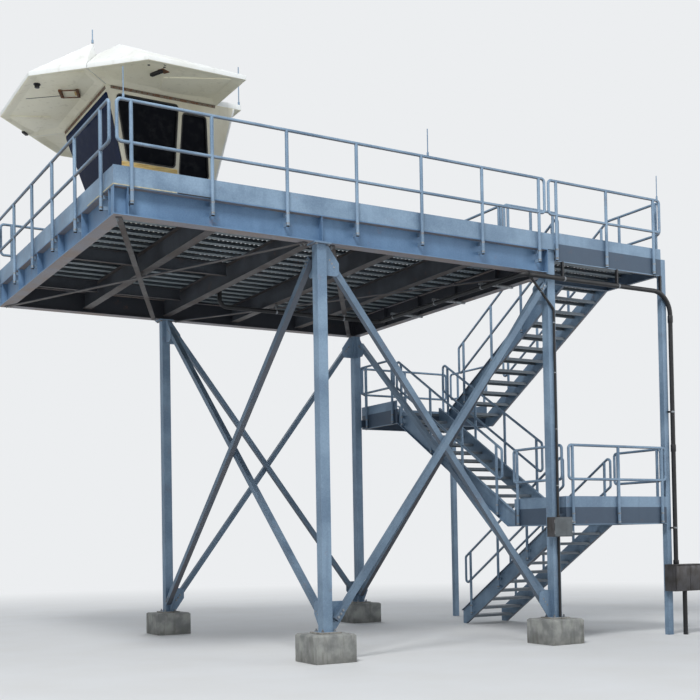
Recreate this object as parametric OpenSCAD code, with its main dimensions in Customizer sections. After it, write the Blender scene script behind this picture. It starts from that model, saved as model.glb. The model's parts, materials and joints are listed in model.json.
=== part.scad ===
// Lifeguard lookout tower: a galvanised steel platform on four braced columns,
// half of it cantilevered, with a moulded cab at the free end and a stair of
// three flights at the other end.
// X runs along the platform from the cab to the stair, Y runs away from the
// front side and Z is up. The origin is on the ground, under the middle of the
// tower's outline.

/* [Platform] */
// Height of the walking surface above the ground
deck_height = 6318; // [5600:1:7000]
// Length from the free end to the axis of the stair side columns
platform_length = 7190; // [6600:10:7800]
// Width over the two long girders
platform_width = 6280; // [5900:10:6900]
// Depth of the edge girders
girder_depth = 380; // [340:5:440]
// Flange width of the edge girders
girder_flange = 200; // [160:5:240]
// Flange thickness of the edge girders
girder_flange_t = 16; // [10:1:22]
// Web thickness of the edge girders
girder_web_t = 10; // [6:1:14]
// Largest distance between web stiffeners on the end girder
stiffener_pitch = 1200; // [900:10:1500]
// Depth of the floor beams
beam_depth = 320; // [260:5:340]
// Flange width of the floor beams
beam_flange = 150; // [100:5:180]
// Flange thickness of the floor beams
beam_flange_t = 12; // [8:1:18]
// Web thickness of the floor beams
beam_web_t = 8; // [6:1:12]
// Distance from the free end to the first floor beam
first_beam_x = 1500; // [1200:10:1800]
// Depth of the joists in the cantilever bay
joist_depth = 200; // [150:5:240]
// Distance between the two joists
joist_pitch = 2060; // [1600:10:2300]
// Width of one steel plank
plank_width = 290; // [200:5:400]
// Gap between neighbouring planks
plank_gap = 12; // [6:1:20]
// Depth of the plank's folded edges
plank_depth = 50; // [40:1:70]
// Sheet thickness of planks and treads
plank_t = 5; // [3:0.5:8]

/* [Columns] */
// Width of the square columns
column_size = 150; // [130:5:180]
// Wall thickness of the square columns
column_wall = 8; // [5:1:12]
// Distance from the free end to the cantilever side columns
inner_column_x = 3020; // [2600:10:3400]
// Width of base and head plates
end_plate_size = 260; // [220:5:320]
// Thickness of base and head plates
end_plate_t = 22; // [15:1:30]
// Width of a concrete plinth
plinth_size = 640; // [560:10:760]
// Height of a concrete plinth
plinth_height = 400; // [300:10:500]
// Chamfer along the plinth's edges
plinth_chamfer = 25; // [10:1:40]
// Width of the two stair posts
stair_post_size = 100; // [80:5:110]
// Wall thickness of the two stair posts
stair_post_wall = 6; // [4:1:9]

/* [Bracing] */
// Width of the square brace tubes
brace_size = 90; // [70:5:100]
// Wall thickness of the square brace tubes
brace_wall = 6; // [4:1:8]
// Thickness of gusset plates
gusset_t = 12; // [8:1:18]
// Length of a gusset along the column
gusset_length = 420; // [380:10:500]
// Reach of a gusset from the column face
gusset_reach = 240; // [220:10:320]
// Width of the flat braces under the deck
deck_brace_size = 80; // [60:5:100]
// Thickness of the flat braces under the deck
deck_brace_t = 12; // [8:1:16]

/* [Guard rails] */
// Height of the top rail above the walking surface
rail_height = 1070; // [1000:5:1150]
// Distance from the top rail down to the middle rail
rail_drop = 545; // [480:5:600]
// Diameter of the rails
rail_d = 45; // [38:1:48]
// Diameter of the rail posts
rail_post_d = 50; // [49:1:60]
// Bend radius of the rails at their tube axis
rail_bend = 60; // [40:1:80]
// Largest distance between rail posts
post_pitch = 1200; // [900:10:1400]
// Depth of a post's foot below the walking surface
post_foot = 282; // [230:1:320]
// Gap between a post and the steel that it is fixed to
post_standoff = 6; // [4:1:12]
// Height of the toe boards above the walking surface
toe_height = 205; // [100:5:220]
// Thickness of the toe boards
toe_t = 8; // [5:1:12]
// Height of the kerb below the toe boards above the walking surface
kerb_height = 60; // [40:1:70]

/* [Stair] */
// Risers in each of the three flights
risers = 12; // [11:1:13]
// Going of one tread
going = 285.5; // [270:0.5:300]
// Overlap of each tread under the next nosing
tread_overlap = 24; // [10:1:40]
// Clear width between a flight's stringers
flight_width = 950; // [850:10:1050]
// Clearance between the handrail posts that stand side by side between the flights
post_clearance = 8; // [6:1:40]
// Gap between the stair and the platform's edge girder
stair_gap = 115; // [90:5:140]
// Depth of the stringers
channel_depth = 300; // [260:5:320]
// Depth of the landings' channels
landing_channel = 290; // [250:5:320]
// Height of the landings' channels above their walking surface
landing_up = 60; // [40:5:80]
// Height of the landings' toe boards above their channels
landing_toe = 170; // [100:5:180]
// Flange width of stringers and landing channels
channel_flange = 50; // [40:1:60]
// Sheet thickness of stringers and landing channels
channel_t = 9; // [6:1:12]
// Vertical distance from a nosing down to the stringer's soffit
soffit_drop = 230; // [200:5:260]
// Depth of a landing from its outer edge
landing_depth = 1300; // [1200:10:1400]
// Distance from a flight's last nosing to the frame of the landing below
landing_shift = 480; // [440:5:520]

/* [Cab] */
// Distance from the platform's free end to the cab at window head level
cab_x = 590; // [500:10:700]
// Length of the cab at window head level, without its wing walls
cab_length = 1800; // [1700:10:2000]
// Width of the cab at window head level
cab_width = 2200; // [2000:10:2400]
// Height of the window head level above the deck
cab_head = 2082; // [2040:1:2200]
// Height above the deck at which the cab's walls begin to lean out
cab_waist = 982; // [900:1:1020]
// Outward lean of the end wall per unit of height
end_lean = 0.30; // [0.20:0.01:0.35]
// Outward lean of the side walls per unit of height
side_lean = 0.20; // [0.10:0.01:0.25]
// Lean of the wing walls' free edge and of the windows' slanted edges
edge_lean = 0.21; // [0.10:0.01:0.25]
// Thickness of the cab's walls
cab_wall = 60; // [40:1:80]
// Thickness of the cab's floor
cab_floor_t = 60; // [40:1:80]
// Thickness of the cab's roof at its edge
roof_t = 90; // [80:1:120]
// Rise of the roof's middle above its edge
roof_rise = 120; // [60:5:200]
// Overhang of the roof past the wing walls
roof_lip = 130; // [80:5:180]
// Thickness of the window glass
glass_t = 8; // [6:1:12]
// Height of the side windows' lower edge above the deck
window_low = 1082; // [1060:1:1140]
// Height of the window openings
window_height = 915; // [820:5:930]
// Corner radius of the window openings
window_r = 60; // [40:1:90]
// Wall between the cab's corner and a side window, at the window's lower edge
corner_post = 55; // [45:1:90]
// Distance from the cab's upper front edge to the post between the side windows
mullion_x = 1133; // [950:1:1200]
// Width of the post between two windows
mullion = 60; // [50:1:120]
// Wall between a side window and the doorway's wall
rear_window_margin = 110; // [90:5:200]
// Wall beside the end wall's window, from the cab's corner
end_window_margin = 300; // [240:5:360]
// Width of the doorway
door_width = 760; // [700:10:850]
// Height of the doorway
door_height = 1880; // [1850:10:1900]
// Thickness of the door leaf
door_t = 45; // [35:1:55]

/* [Shutters] */
// Reach of the end wall's shutter from the cab
end_shutter_reach = 1065; // [950:5:1150]
// Reach of the side wall's shutters from the cab
side_shutter_reach = 1090; // [950:5:1200]
// Height of a shutter's crest above its flat underside
crest_height = 505; // [350:5:520]
// Distance of the crest outside the cab's wall
crest_offset = 270; // [200:5:300]
// Thickness of a shutter's outer edge
shutter_lip = 62; // [50:1:80]
// Distance of the mitred corner from the cab's corner, along each wall
mitre_reach = 420; // [350:5:480]
// Gap between two shutters along their mitre
shutter_gap = 10; // [6:1:20]
// Width of the flat rim round a shutter's underside
soffit_rim = 35; // [25:1:60]
// Width of the slope from the rim to the panel inside it
soffit_slope = 110; // [60:5:160]
// Depth of that panel above the rim
soffit_depth = 35; // [15:1:45]

/* [Fittings] */
// Diameter of a lightning rod
rod_d = 16; // [13:1:20]
// Length of a lightning rod above its seat
rod_length = 400; // [300:10:600]
// Diameter of the large conduit
conduit_d = 76; // [60:1:90]
// Bend radius of the large conduit
conduit_bend = 380; // [250:10:420]
// Diameter of the small conduit
small_conduit_d = 40; // [30:1:50]
// Width of the cabinet at the stair post
cabinet_width = 670; // [500:10:800]
// Height of the cabinet at the stair post
cabinet_height = 450; // [350:10:550]
// Depth of the cabinet at the stair post
cabinet_depth = 240; // [200:10:300]
// Height of the cabinet's top above the ground
cabinet_top = 1190; // [1100:10:1300]

/* [Hidden] */

$fn = 32;
steel = "#9fb0bd";
shell = "#ded6c0";
white = "#f1efe8";
concrete = "#b9b4a8";
glass = "#1d2a44";
black = "#23262b";
stainless = "#b4b1a8";

// Levels
frame_top = deck_height - plank_depth;
girder_bottom = frame_top - girder_depth;
rise = deck_height / (3 * risers);
lower_level = risers * rise;
middle_level = 2 * lower_level;

// Plan of the platform
girder_line = girder_flange / 2;
column_x = [inner_column_x, platform_length];
column_y = [girder_line, platform_width - girder_line];
platform_edge = platform_length + column_size / 2;
beam_spacing = (platform_length - inner_column_x) / 3;
beam_x = [first_beam_x, inner_column_x, inner_column_x + beam_spacing,
          inner_column_x + 2 * beam_spacing];

// Side room that a post needs beside the steel that it is fixed to
post_side = rail_post_d + post_standoff;

// Plan of the stair
flight_outer = flight_width + 2 * channel_flange;
inner_x = platform_edge + stair_gap;
outer_x = inner_x + flight_outer + 2 * post_side + post_clearance;
stair_edge = outer_x + flight_outer;
slope = rise / going;
pitch_angle = atan(slope);
run = (risers - 1) * going;
far_landing_y = landing_depth + run + landing_shift;
landing_bottom = landing_up - landing_channel;

// Plan of the cab, centred across the platform
cab_y = platform_width / 2;
head_z = deck_height + cab_head;
waist_z = deck_height + cab_waist;
lean_height = cab_head - cab_waist;
cab_base_x = cab_x + end_lean * lean_height;
cab_end_x = cab_x + cab_length;
cab_half = cab_width / 2;
cab_base_half = cab_half - side_lean * lean_height;
wing_end_x = cab_end_x + edge_lean * lean_height;

// Outline of the tower
post_offset = rail_post_d / 2 + post_standoff;
cabinet_x = stair_edge - 80;
plinth_out = plinth_size / 2 - girder_line;
outline_low = [cab_x - end_shutter_reach, -max(cabinet_depth, plinth_out)];
outline_high = [cabinet_x + cabinet_width, platform_width + plinth_out];
centre = [(outline_low.x + outline_high.x) / 2, (outline_low.y + outline_high.y) / 2, 0];

function unit(v) = v / norm(v);
function steps(length, largest) = ceil(length / largest);
function spread(first, last, largest) =
    let (count = steps(last - first, largest))
    [for (i = [0:count]) first + i * (last - first) / count];

// Carries its children from the ground plan to the tower's own frame
module place() {
    translate(-centre) children();
}

// Turns +Z of its children to point from one point to another
module along(from, to) {
    way = to - from;
    translate(from) rotate([0, acos(way.z / norm(way)), atan2(way.y, way.x)]) children();
}

module block(low, high) {
    translate(low) cube(high - low);
}

module bar(from, to, d) {
    along(from, to) cylinder(d = d, h = norm(to - from));
}

module square_tube(from, to, size, wall) {
    along(from, to) linear_extrude(norm(to - from)) difference() {
        square(size, center = true);
        square(size - 2 * wall, center = true);
    }
}

module i_section(depth, flange, flange_t, web_t) {
    square([web_t, depth - flange_t], center = true);
    for (side = [-1, 1])
        translate([0, side * (depth - flange_t) / 2]) square([flange, flange_t], center = true);
}

// Solid between two levels whose sides run straight from one outline to the other
module loft(low, z0, high, z1) {
    n = len(low);
    polyhedron(
        points = concat([for (p = low) [p.x, p.y, z0]], [for (p = high) [p.x, p.y, z1]]),
        faces = concat([[for (i = [0:n - 1]) i], [for (i = [0:n - 1]) 2 * n - 1 - i]],
                       [for (i = [0:n - 1]) [i, n + i, n + (i + 1) % n, (i + 1) % n]]));
}

function rectangle(low, high) = [low, [high.x, low.y], high, [low.x, high.y]];

// Signed turn at the corner b between a and c, and the length of each leg that the bend takes up
function turn_at(a, b, c) = let (u = unit(b - a), v = unit(c - b)) atan2(cross(u, v), u * v);
function bend_reach(a, b, c, bend) = bend * tan(abs(turn_at(a, b, c)) / 2);

// One tube bend in the XY plane, at the corner b between a and c. It is a little
// thicker than the straight tubes, which run a short way into it.
elbow_swell = 1.5;
elbow_lap = 3;
module elbow(a, b, c, d, bend) {
    u = unit(b - a);
    turn = turn_at(a, b, c);
    start = b - u * bend_reach(a, b, c, bend);
    middle = start + sign(turn) * bend * [-u.y, u.x];
    heading = atan2(start.y - middle.y, start.x - middle.x);
    translate(middle) rotate(min(heading, heading + turn))
        rotate_extrude(angle = abs(turn)) translate([bend, 0]) circle(d = d + elbow_swell);
}

// Straight tube from b to c in the XY plane, less what the bends at its ends take up
module leg(b, c, skip_b, skip_c, d) {
    ahead = unit(c - b);
    from = b + ahead * (skip_b - elbow_lap);
    to = c - ahead * (skip_c - elbow_lap);
    bar([from.x, from.y, 0], [to.x, to.y, 0], d);
}

// Closed loop of tube through the given corners, in the XY plane
module tube_loop(points, d, bend) {
    count = len(points);
    for (i = [0:count - 1]) {
        a = points[(i + count - 1) % count];
        b = points[i];
        c = points[(i + 1) % count];
        e = points[(i + 2) % count];
        elbow(a, b, c, d, bend);
        leg(b, c, bend_reach(a, b, c, bend), bend_reach(b, c, e, bend), d);
    }
}

// Open run of tube through the given points, in the XY plane
module tube_run(points, d, bend) {
    last = len(points) - 1;
    for (i = [0:last - 1]) {
        reach_in = i > 0 ? bend_reach(points[i - 1], points[i], points[i + 1], bend) : elbow_lap;
        reach_out = i < last - 1 ? bend_reach(points[i], points[i + 1], points[i + 2], bend) : elbow_lap;
        leg(points[i], points[i + 1], reach_in, reach_out, d);
        if (i > 0) elbow(points[i - 1], points[i], points[i + 1], d, bend);
    }
}

// Guard rail panel standing in the XZ plane. line gives the walking surface as
// [[x, z], ...] from left to right. Each post in posts is [x, foot, reach]: its
// place, its length below the walking surface and the distance from its axis
// back to the steel that carries it.
bracket = [10, 50];
bracket_levels = [30, 170];
module rail_panel(line, posts) {
    top = rail_height - rail_d / 2;
    last = len(line) - 1;
    upper = [for (p = line) p + [0, top]];
    lower = [for (i = [0:last]) line[last - i] + [0, top - rail_drop]];
    rotate([90, 0, 0]) tube_loop(concat(upper, lower), rail_d, rail_bend);
    for (post = posts) {
        ground = lookup(post[0], line);
        bar([post[0], 0, ground - post[1]], [post[0], 0, ground + top], rail_post_d);
        for (level = bracket_levels)
            translate([post[0] - bracket.x / 2, 0, ground - post[1] + level - bracket.y / 2])
                cube([bracket.x, post[2], bracket.y]);
    }
}

function posts_at(places, foot, reach) = [for (x = places) [x, foot, reach]];

// Straight level panel from x = 0 to length, with posts set in from both ends
module level_rail(length, first, last, pitch, foot, reach) {
    rail_panel([[0, 0], [length, 0]], posts_at(spread(first, length - last, pitch), foot, reach));
}

// Ground works and columns
module plinths() {
    half = plinth_size / 2;
    inner = half - plinth_chamfer;
    edge = plinth_height - plinth_chamfer;
    color(concrete) place() for (x = column_x, y = column_y) translate([x, y, 0]) {
        linear_extrude(edge) square(plinth_size, center = true);
        loft(rectangle([-half, -half], [half, half]), edge,
             rectangle([-inner, -inner], [inner, inner]), plinth_height);
    }
}

module column(top, head_size) {
    foot = plinth_height + end_plate_t;
    square_tube([0, 0, foot], [0, 0, top - end_plate_t], column_size, column_wall);
    translate([0, 0, plinth_height]) linear_extrude(end_plate_t)
        square(end_plate_size, center = true);
    translate([0, 0, top - end_plate_t]) linear_extrude(end_plate_t)
        square(head_size, center = true);
}

module main_columns() {
    color(steel) place() for (y = column_y) {
        translate([column_x[0], y, 0]) column(girder_bottom, end_plate_size);
        translate([column_x[1], y, 0]) column(frame_top, column_size);
    }
}

module stair_post(top) {
    square_tube([0, 0, end_plate_t], [0, 0, top - end_plate_t], stair_post_size, stair_post_wall);
    for (z = [0, top - end_plate_t]) translate([0, 0, z])
        linear_extrude(end_plate_t) square(stair_post_size, center = true);
}

module stair_posts() {
    x = stair_edge + stair_post_size / 2;
    y = stair_post_size / 2;
    color(steel) place() {
        translate([x, y, 0]) stair_post(deck_height + landing_up);
        translate([x, platform_width - y, 0]) stair_post(middle_level + landing_up);
    }
}

// Bracing between the columns. Each side has two bars that cross and pass
// each other, bolted to the two faces of the same gussets.
brace_gap = 60;
gusset_foot = plinth_height + end_plate_t;
gusset_head = girder_bottom - end_plate_t;
brace_rise = 0.38 * gusset_length;

// Two crossing bars in the XZ plane between column axes at x = 0 and span
module crossed_braces(span) {
    near = column_size / 2 + brace_gap;
    side = (brace_size + gusset_t) / 2;
    low = gusset_foot + brace_rise;
    high = gusset_head - brace_rise;
    square_tube([near, -side, low], [span - near, -side, high], brace_size, brace_wall);
    square_tube([near, side, high], [span - near, side, low], brace_size, brace_wall);
}

module long_side_braces() {
    color(steel) place() for (i = [0, 1]) translate([column_x[0], column_y[i], 0])
        mirror([0, i, 0]) crossed_braces(column_x[1] - column_x[0]);
}

module short_side_braces() {
    color(steel) place() for (x = column_x) translate([x, column_y[0], 0])
        rotate(90) crossed_braces(column_y[1] - column_y[0]);
}

// Gusset beside a column at x = 0, from its foot up
module gusset() {
    face = column_size / 2;
    reach = face + gusset_reach;
    rotate([90, 0, 0]) translate([0, 0, -gusset_t / 2]) linear_extrude(gusset_t)
        polygon([[face, 0], [face + 0.3 * gusset_reach, 0], [reach, 0.55 * gusset_length],
                 [reach, 0.9 * gusset_length], [face + 0.8 * gusset_reach, gusset_length],
                 [face, gusset_length]]);
}

module gusset_pair() {
    translate([0, 0, gusset_foot]) gusset();
    translate([0, 0, gusset_head]) mirror([0, 0, 1]) gusset();
}

module brace_gussets() {
    color(steel) place() for (i = [0, 1], j = [0, 1]) translate([column_x[i], column_y[j], 0]) {
        mirror([i, 0, 0]) gusset_pair();
        rotate(90) mirror([j, 0, 0]) gusset_pair();
    }
}

// Platform steelwork
girder_clear = girder_depth - 2 * girder_flange_t;

module girder(length, flange) {
    rotate([90, 0, 90]) linear_extrude(length)
        i_section(girder_depth, flange, girder_flange_t, girder_web_t);
}

// Upright plate between a girder's flanges, from y = from to y = to
module stiffener(x, from, to) {
    block([x - girder_web_t / 2, from, -girder_clear / 2], [x + girder_web_t / 2, to, girder_clear / 2]);
}

// Girder along a long side. Outside, its web has a plate at both ends, beside
// the crossing end girder and over the column.
module long_girder() {
    length = platform_length - column_size / 2;
    girder(length, girder_flange);
    for (x = [girder_web_t / 2, girder_flange - girder_web_t / 2, inner_column_x])
        stiffener(x, -girder_line, 0);
    stiffener(length - girder_web_t / 2, -girder_line, girder_line);
}

module long_girders() {
    color(steel) place() for (i = [0, 1]) translate([0, column_y[i], frame_top - girder_depth / 2])
        mirror([0, i, 0]) long_girder();
}

module end_girder(length, flange) {
    girder(length, flange);
    for (x = spread(girder_web_t / 2, length - girder_web_t / 2, stiffener_pitch))
        stiffener(x, -flange / 2, flange / 2);
}

module end_girders() {
    level = frame_top - girder_depth / 2;
    first = girder_line + column_size / 2;
    color(steel) place() {
        translate([girder_line, girder_flange, level]) rotate(90)
            end_girder(platform_width - 2 * girder_flange, girder_flange);
        translate([platform_length, first, level]) rotate(90)
            end_girder(platform_width - 2 * first, column_size);
    }
}

// Floor beam between the long girders. Its flanges stop at theirs, and its
// web runs on to their webs.
module floor_beam() {
    web_start = girder_line + girder_web_t / 2;
    web_low = max(frame_top - beam_depth + beam_flange_t, girder_bottom + girder_flange_t);
    translate([0, girder_flange, frame_top - beam_depth / 2]) rotate([90, 0, 180])
        linear_extrude(platform_width - 2 * girder_flange)
            i_section(beam_depth, beam_flange, beam_flange_t, beam_web_t);
    block([-beam_web_t / 2, web_start, web_low],
          [beam_web_t / 2, platform_width - web_start, frame_top - girder_flange_t]);
}

// Joist of the cantilever bay between two stops, just clear of the beams
weld_gap = 0.3;
module joist(from, to) {
    translate([from, 0, frame_top - joist_depth / 2]) rotate([90, 0, 90])
        linear_extrude(to - from)
            i_section(joist_depth, beam_flange / 2, beam_flange_t, beam_web_t);
}

module floor_beams() {
    half = beam_flange / 2;
    color(steel) place() {
        for (x = beam_x) translate([x, 0, 0]) floor_beam();
        for (y = [cab_y, cab_y + joist_pitch]) translate([0, y, 0]) {
            joist(girder_flange, beam_x[0] - half - weld_gap);
            joist(beam_x[0] + half + weld_gap, beam_x[1] - half - weld_gap);
        }
    }
}

// Level cross bracing under the girders' bottom flanges
module flat_bar(from, to) {
    along(from, to) linear_extrude(norm(to - from))
        square([deck_brace_t, deck_brace_size], center = true);
}

module level_cross(x0, x1) {
    near = girder_line;
    far = platform_width - girder_line;
    flat_bar([x0, near, 0], [x1, far, 0]);
    flat_bar([x0, far, 0], [x1, near, 0]);
}

module deck_bracing() {
    column_clear = end_plate_size / 2 + deck_brace_size;
    color(steel) place() translate([0, 0, girder_bottom - deck_brace_t / 2]) {
        level_cross(girder_line, column_x[0] - column_clear);
        level_cross(column_x[0] + column_clear, column_x[1] - column_size);
    }
}

// Decking: folded steel planks with their edges turned down
module plank(length, width) {
    difference() {
        translate([0, -width / 2, -plank_depth]) cube([length, width, plank_depth]);
        translate([-1, -width / 2 + plank_t, -plank_depth - plank_t])
            cube([length + 2, width - 2 * plank_t, plank_depth]);
    }
}

// Planks laid along X over a rectangle, as many as fit the width
module plank_field(low, high) {
    count = max(round((high.y - low.y + plank_gap) / (plank_width + plank_gap)), 1);
    width = (high.y - low.y + plank_gap) / count - plank_gap;
    for (i = [0:count - 1])
        translate([low.x, low.y + width / 2 + i * (width + plank_gap), 0])
            plank(high.x - low.x, width);
}

module deck_planks() {
    color(steel) place() translate([0, 0, deck_height])
        plank_field([toe_t, toe_t], [platform_edge - toe_t, platform_width - toe_t]);
}

// Kerb along the deck's edge, and a toe board behind it that stands clear of
// the planks. way points from the kerb to the board.
toe_drain = 20;
module toe_board(low, high, way) {
    block([low.x, low.y, deck_height - plank_depth], [high.x, high.y, deck_height + kerb_height]);
    block([low.x + way.x, low.y + way.y, deck_height + toe_drain],
          [high.x + way.x, high.y + way.y, deck_height + toe_height]);
}

module toe_boards() {
    inner = toe_t + plank_gap;
    color(steel) place() {
        toe_board([0, 0], [platform_edge, toe_t], [0, toe_t]);
        toe_board([0, platform_width - toe_t], [platform_edge, platform_width], [0, -toe_t]);
        toe_board([0, inner], [toe_t, platform_width - inner], [toe_t, 0]);
        toe_board([platform_edge - toe_t, landing_depth], [platform_edge, platform_width - inner],
                  [-toe_t, 0]);
    }
}

// Guard rails of the platform. Rail ends stand in from the platform's corners.
end_setback = 45;
side_rail_end = platform_length - column_size;
rail_end_gap = 85;
// Distances from a rail's ends to its first and last post
side_rail_first = 189;
side_rail_last = 116;
end_rail_first = 50;
end_rail_last = 365;
stair_rail_first = 70;
stair_rail_last = 190;
girder_reach = post_offset + girder_line - girder_web_t / 2;
edge_reach = post_offset + (column_size - girder_web_t) / 2;

module near_guard_rail() {
    color(steel) place() translate([end_setback, -post_offset, deck_height])
        level_rail(side_rail_end - end_setback, side_rail_first, side_rail_last, post_pitch, post_foot,
                   girder_reach);
}

module far_guard_rail() {
    color(steel) place() translate([end_setback, platform_width + post_offset, deck_height])
        mirror([0, 1, 0])
            level_rail(side_rail_end - end_setback, side_rail_first, side_rail_last, post_pitch, post_foot,
                   girder_reach);
}

// The first post stands against the end plate of the far girder
module cab_end_guard_rail() {
    length = platform_width - 2 * end_setback;
    places = spread(end_rail_first, length - end_rail_last, post_pitch);
    inner_places = [for (i = [1:len(places) - 1]) places[i]];
    color(steel) place() translate([-post_offset, platform_width - end_setback, deck_height])
        rotate(-90) rail_panel([[0, 0], [length, 0]],
                               concat([[places[0], post_foot, post_offset]],
                                      posts_at(inner_places, post_foot, girder_reach)));
}

module stair_end_guard_rail() {
    start = landing_depth + 2 * post_offset + post_standoff + rail_d / 2;
    color(steel) place() translate([platform_edge + post_offset, start, deck_height])
        rotate(90) level_rail(platform_width - end_setback - start, stair_rail_first, stair_rail_last,
                              post_pitch, post_foot, edge_reach);
}

// Landings: a frame of channels with planks between them. The frame stands up
// beside the planks, apart from its open side towards the flights.
module open_side(low, high, y, level) {
    for (edge = [[channel_t, channel_t], [channel_flange, channel_flange]])
        block([low.x + edge[0], y - edge[1] - 1, level - plank_depth],
              [high.x - edge[0], y + edge[1] + 1, level + landing_up + 1]);
}

module landing_frame(low, high, open_y, level) {
    top = level + landing_up;
    bottom = level + landing_bottom;
    difference() {
        block([low.x, low.y, bottom], [high.x, high.y, top]);
        block([low.x + channel_t, low.y + channel_t, bottom + channel_t],
              [high.x - channel_t, high.y - channel_t, top - channel_t]);
        block([low.x + channel_flange, low.y + channel_flange, bottom - 1],
              [high.x - channel_flange, high.y - channel_flange, top + 1]);
        open_side(low, high, open_y, level);
    }
}

module landing_deck(low, high, level) {
    translate([0, 0, level]) plank_field(low, high);
}

// Short planks that carry a landing on between the stringers of one flight
module landing_nose(x, from_y, to_y, level) {
    translate([x + channel_flange, 0, level]) plank_field([0, from_y], [flight_width, to_y]);
}

// Block that joins a landing's frame to the column beside it
module column_stub(y, level) {
    block([platform_edge, y - channel_flange, level - plank_depth - channel_depth / 2],
          [inner_x, y + channel_flange, level - plank_depth]);
}

module landing_toe_board(low, high, level) {
    top = level + landing_up;
    block([low.x, low.y, top], [high.x, high.y, top + landing_toe]);
}

// The top landing's frame is open on the platform's side too
module top_landing() {
    low = [platform_edge, 0];
    high = [stair_edge, landing_depth];
    cut = channel_flange + 1;
    color(steel) place() {
        difference() {
            landing_frame(low - [channel_flange, 0], high, high.y, deck_height);
            block([low.x - cut, -1, deck_height + landing_bottom - 1],
                  [low.x, high.y + 1, deck_height + landing_up + 1]);
        }
        landing_toe_board(low, [high.x, toe_t], deck_height);
        landing_toe_board([high.x - toe_t, 2 * toe_t], high, deck_height);
    }
}

module middle_landing() {
    low = [inner_x, far_landing_y];
    high = [stair_edge, platform_width];
    color(steel) place() {
        landing_frame(low, high, low.y, middle_level);
        landing_toe_board([low.x, high.y - toe_t], high, middle_level);
        landing_toe_board(low, [low.x + toe_t, high.y - 2 * toe_t], middle_level);
        landing_toe_board([high.x - toe_t, low.y], [high.x, high.y - 2 * toe_t], middle_level);
        column_stub(column_y[1], middle_level);
    }
}

module lower_landing() {
    low = [inner_x, 0];
    high = [stair_edge, landing_depth];
    color(steel) place() {
        landing_frame(low, high, high.y, lower_level);
        landing_toe_board(low, [high.x, toe_t], lower_level);
        landing_toe_board([low.x, 2 * toe_t], [low.x + toe_t, high.y], lower_level);
        landing_toe_board([high.x - toe_t, 2 * toe_t], high, lower_level);
        column_stub(column_y[0], lower_level);
    }
}

// The planks of all three landings, between the webs of their frames
module landing_planks() {
    left = inner_x + channel_t;
    right = stair_edge - channel_t;
    color(steel) place() {
        landing_deck([platform_edge + plank_gap, channel_t], [right, landing_depth], deck_height);
        landing_deck([left, far_landing_y], [right, platform_width - channel_t], middle_level);
        landing_nose(outer_x, far_landing_y - landing_shift, far_landing_y - plank_gap, middle_level);
        landing_deck([left, channel_t], [right, landing_depth], lower_level);
        landing_nose(inner_x, landing_depth + plank_gap, landing_depth + landing_shift, lower_level);
    }
}

// Landing rails. Their posts stand against the landings' frames.
landing_foot = 220;
landing_post = 80;
open_side_post = 200;
far_end_post = 260;
top_first_post = 15;
top_last_post = 145;
landing_rail_length = stair_edge - inner_x - 2 * end_setback;

module landing_rail(length, first, last) {
    level_rail(length, first, last, post_pitch, landing_foot, post_offset);
}

module top_landing_rails() {
    start = side_rail_end + rail_end_gap;
    inner_start = platform_edge + end_setback;
    color(steel) place() {
        translate([start, -post_offset, deck_height])
            landing_rail(stair_edge - end_setback - start, platform_edge + top_first_post - start,
                         top_last_post);
        translate([inner_start, landing_depth + post_offset, deck_height]) mirror([0, 1, 0])
            level_rail(outer_x - 2 * end_setback - inner_start, landing_post, landing_post,
                       post_pitch / 2, landing_foot, post_offset);
    }
}

module middle_landing_rails() {
    side_length = platform_width - far_landing_y - 2 * end_setback;
    color(steel) place() {
        translate([inner_x + end_setback, platform_width + post_offset, middle_level])
            mirror([0, 1, 0]) landing_rail(landing_rail_length, landing_post, landing_post);
        translate([inner_x - post_offset, platform_width - end_setback, middle_level])
            rotate(-90) landing_rail(side_length, open_side_post, landing_post);
        translate([stair_edge + post_offset, far_landing_y + end_setback, middle_level])
            rotate(90) landing_rail(side_length, landing_post, far_end_post);
    }
}

module lower_landing_rails() {
    start = stair_post_size + end_setback;
    color(steel) place() {
        translate([inner_x + end_setback, -post_offset, lower_level])
            landing_rail(landing_rail_length, landing_post, landing_post);
        translate([inner_x - post_offset, landing_depth - end_setback, lower_level])
            rotate(-90) landing_rail(landing_depth - 2 * end_setback, landing_post, open_side_post);
        translate([stair_edge + post_offset, start, lower_level])
            rotate(90) landing_rail(landing_depth - end_setback - start, landing_post, landing_post);
    }
}

// Flights are modelled descending along +X from a top nosing at the origin,
// between y = 0 and flight_outer, and are then turned into place.
stringer_rise = channel_depth / cos(pitch_angle);

// Side outline of a stringer that stops at end_x and at the level lowest
module stringer_outline(end_x, lowest) {
    low = -soffit_drop;
    end_low = low - end_x * slope;
    foot = end_low < lowest - 1 ? [[(low - lowest) / slope, lowest], [end_x, lowest]]
                                : [[end_x, end_low]];
    polygon(concat([[0, low + stringer_rise], [0, low]], foot, [[end_x, end_low + stringer_rise]]));
}

// Space between the flanges of a stringer, open at both ends
module stringer_pocket(end_x) {
    t = channel_t / cos(pitch_angle);
    low = t - soffit_drop;
    high = stringer_rise - soffit_drop - t;
    polygon([[-1, high + slope], [-1, low + slope], [end_x + 1, low - (end_x + 1) * slope],
             [end_x + 1, high - (end_x + 1) * slope]]);
}

module stringer(end_x, lowest) {
    rotate([90, 0, 0]) mirror([0, 0, 1]) difference() {
        linear_extrude(channel_flange) stringer_outline(end_x, lowest);
        translate([0, 0, -1]) linear_extrude(channel_flange - channel_t + 1)
            stringer_pocket(end_x);
    }
}

module flight_stringers(end_x, lowest) {
    stringer(end_x, lowest);
    translate([0, flight_outer, 0]) mirror([0, 1, 0]) stringer(end_x, lowest);
}

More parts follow.
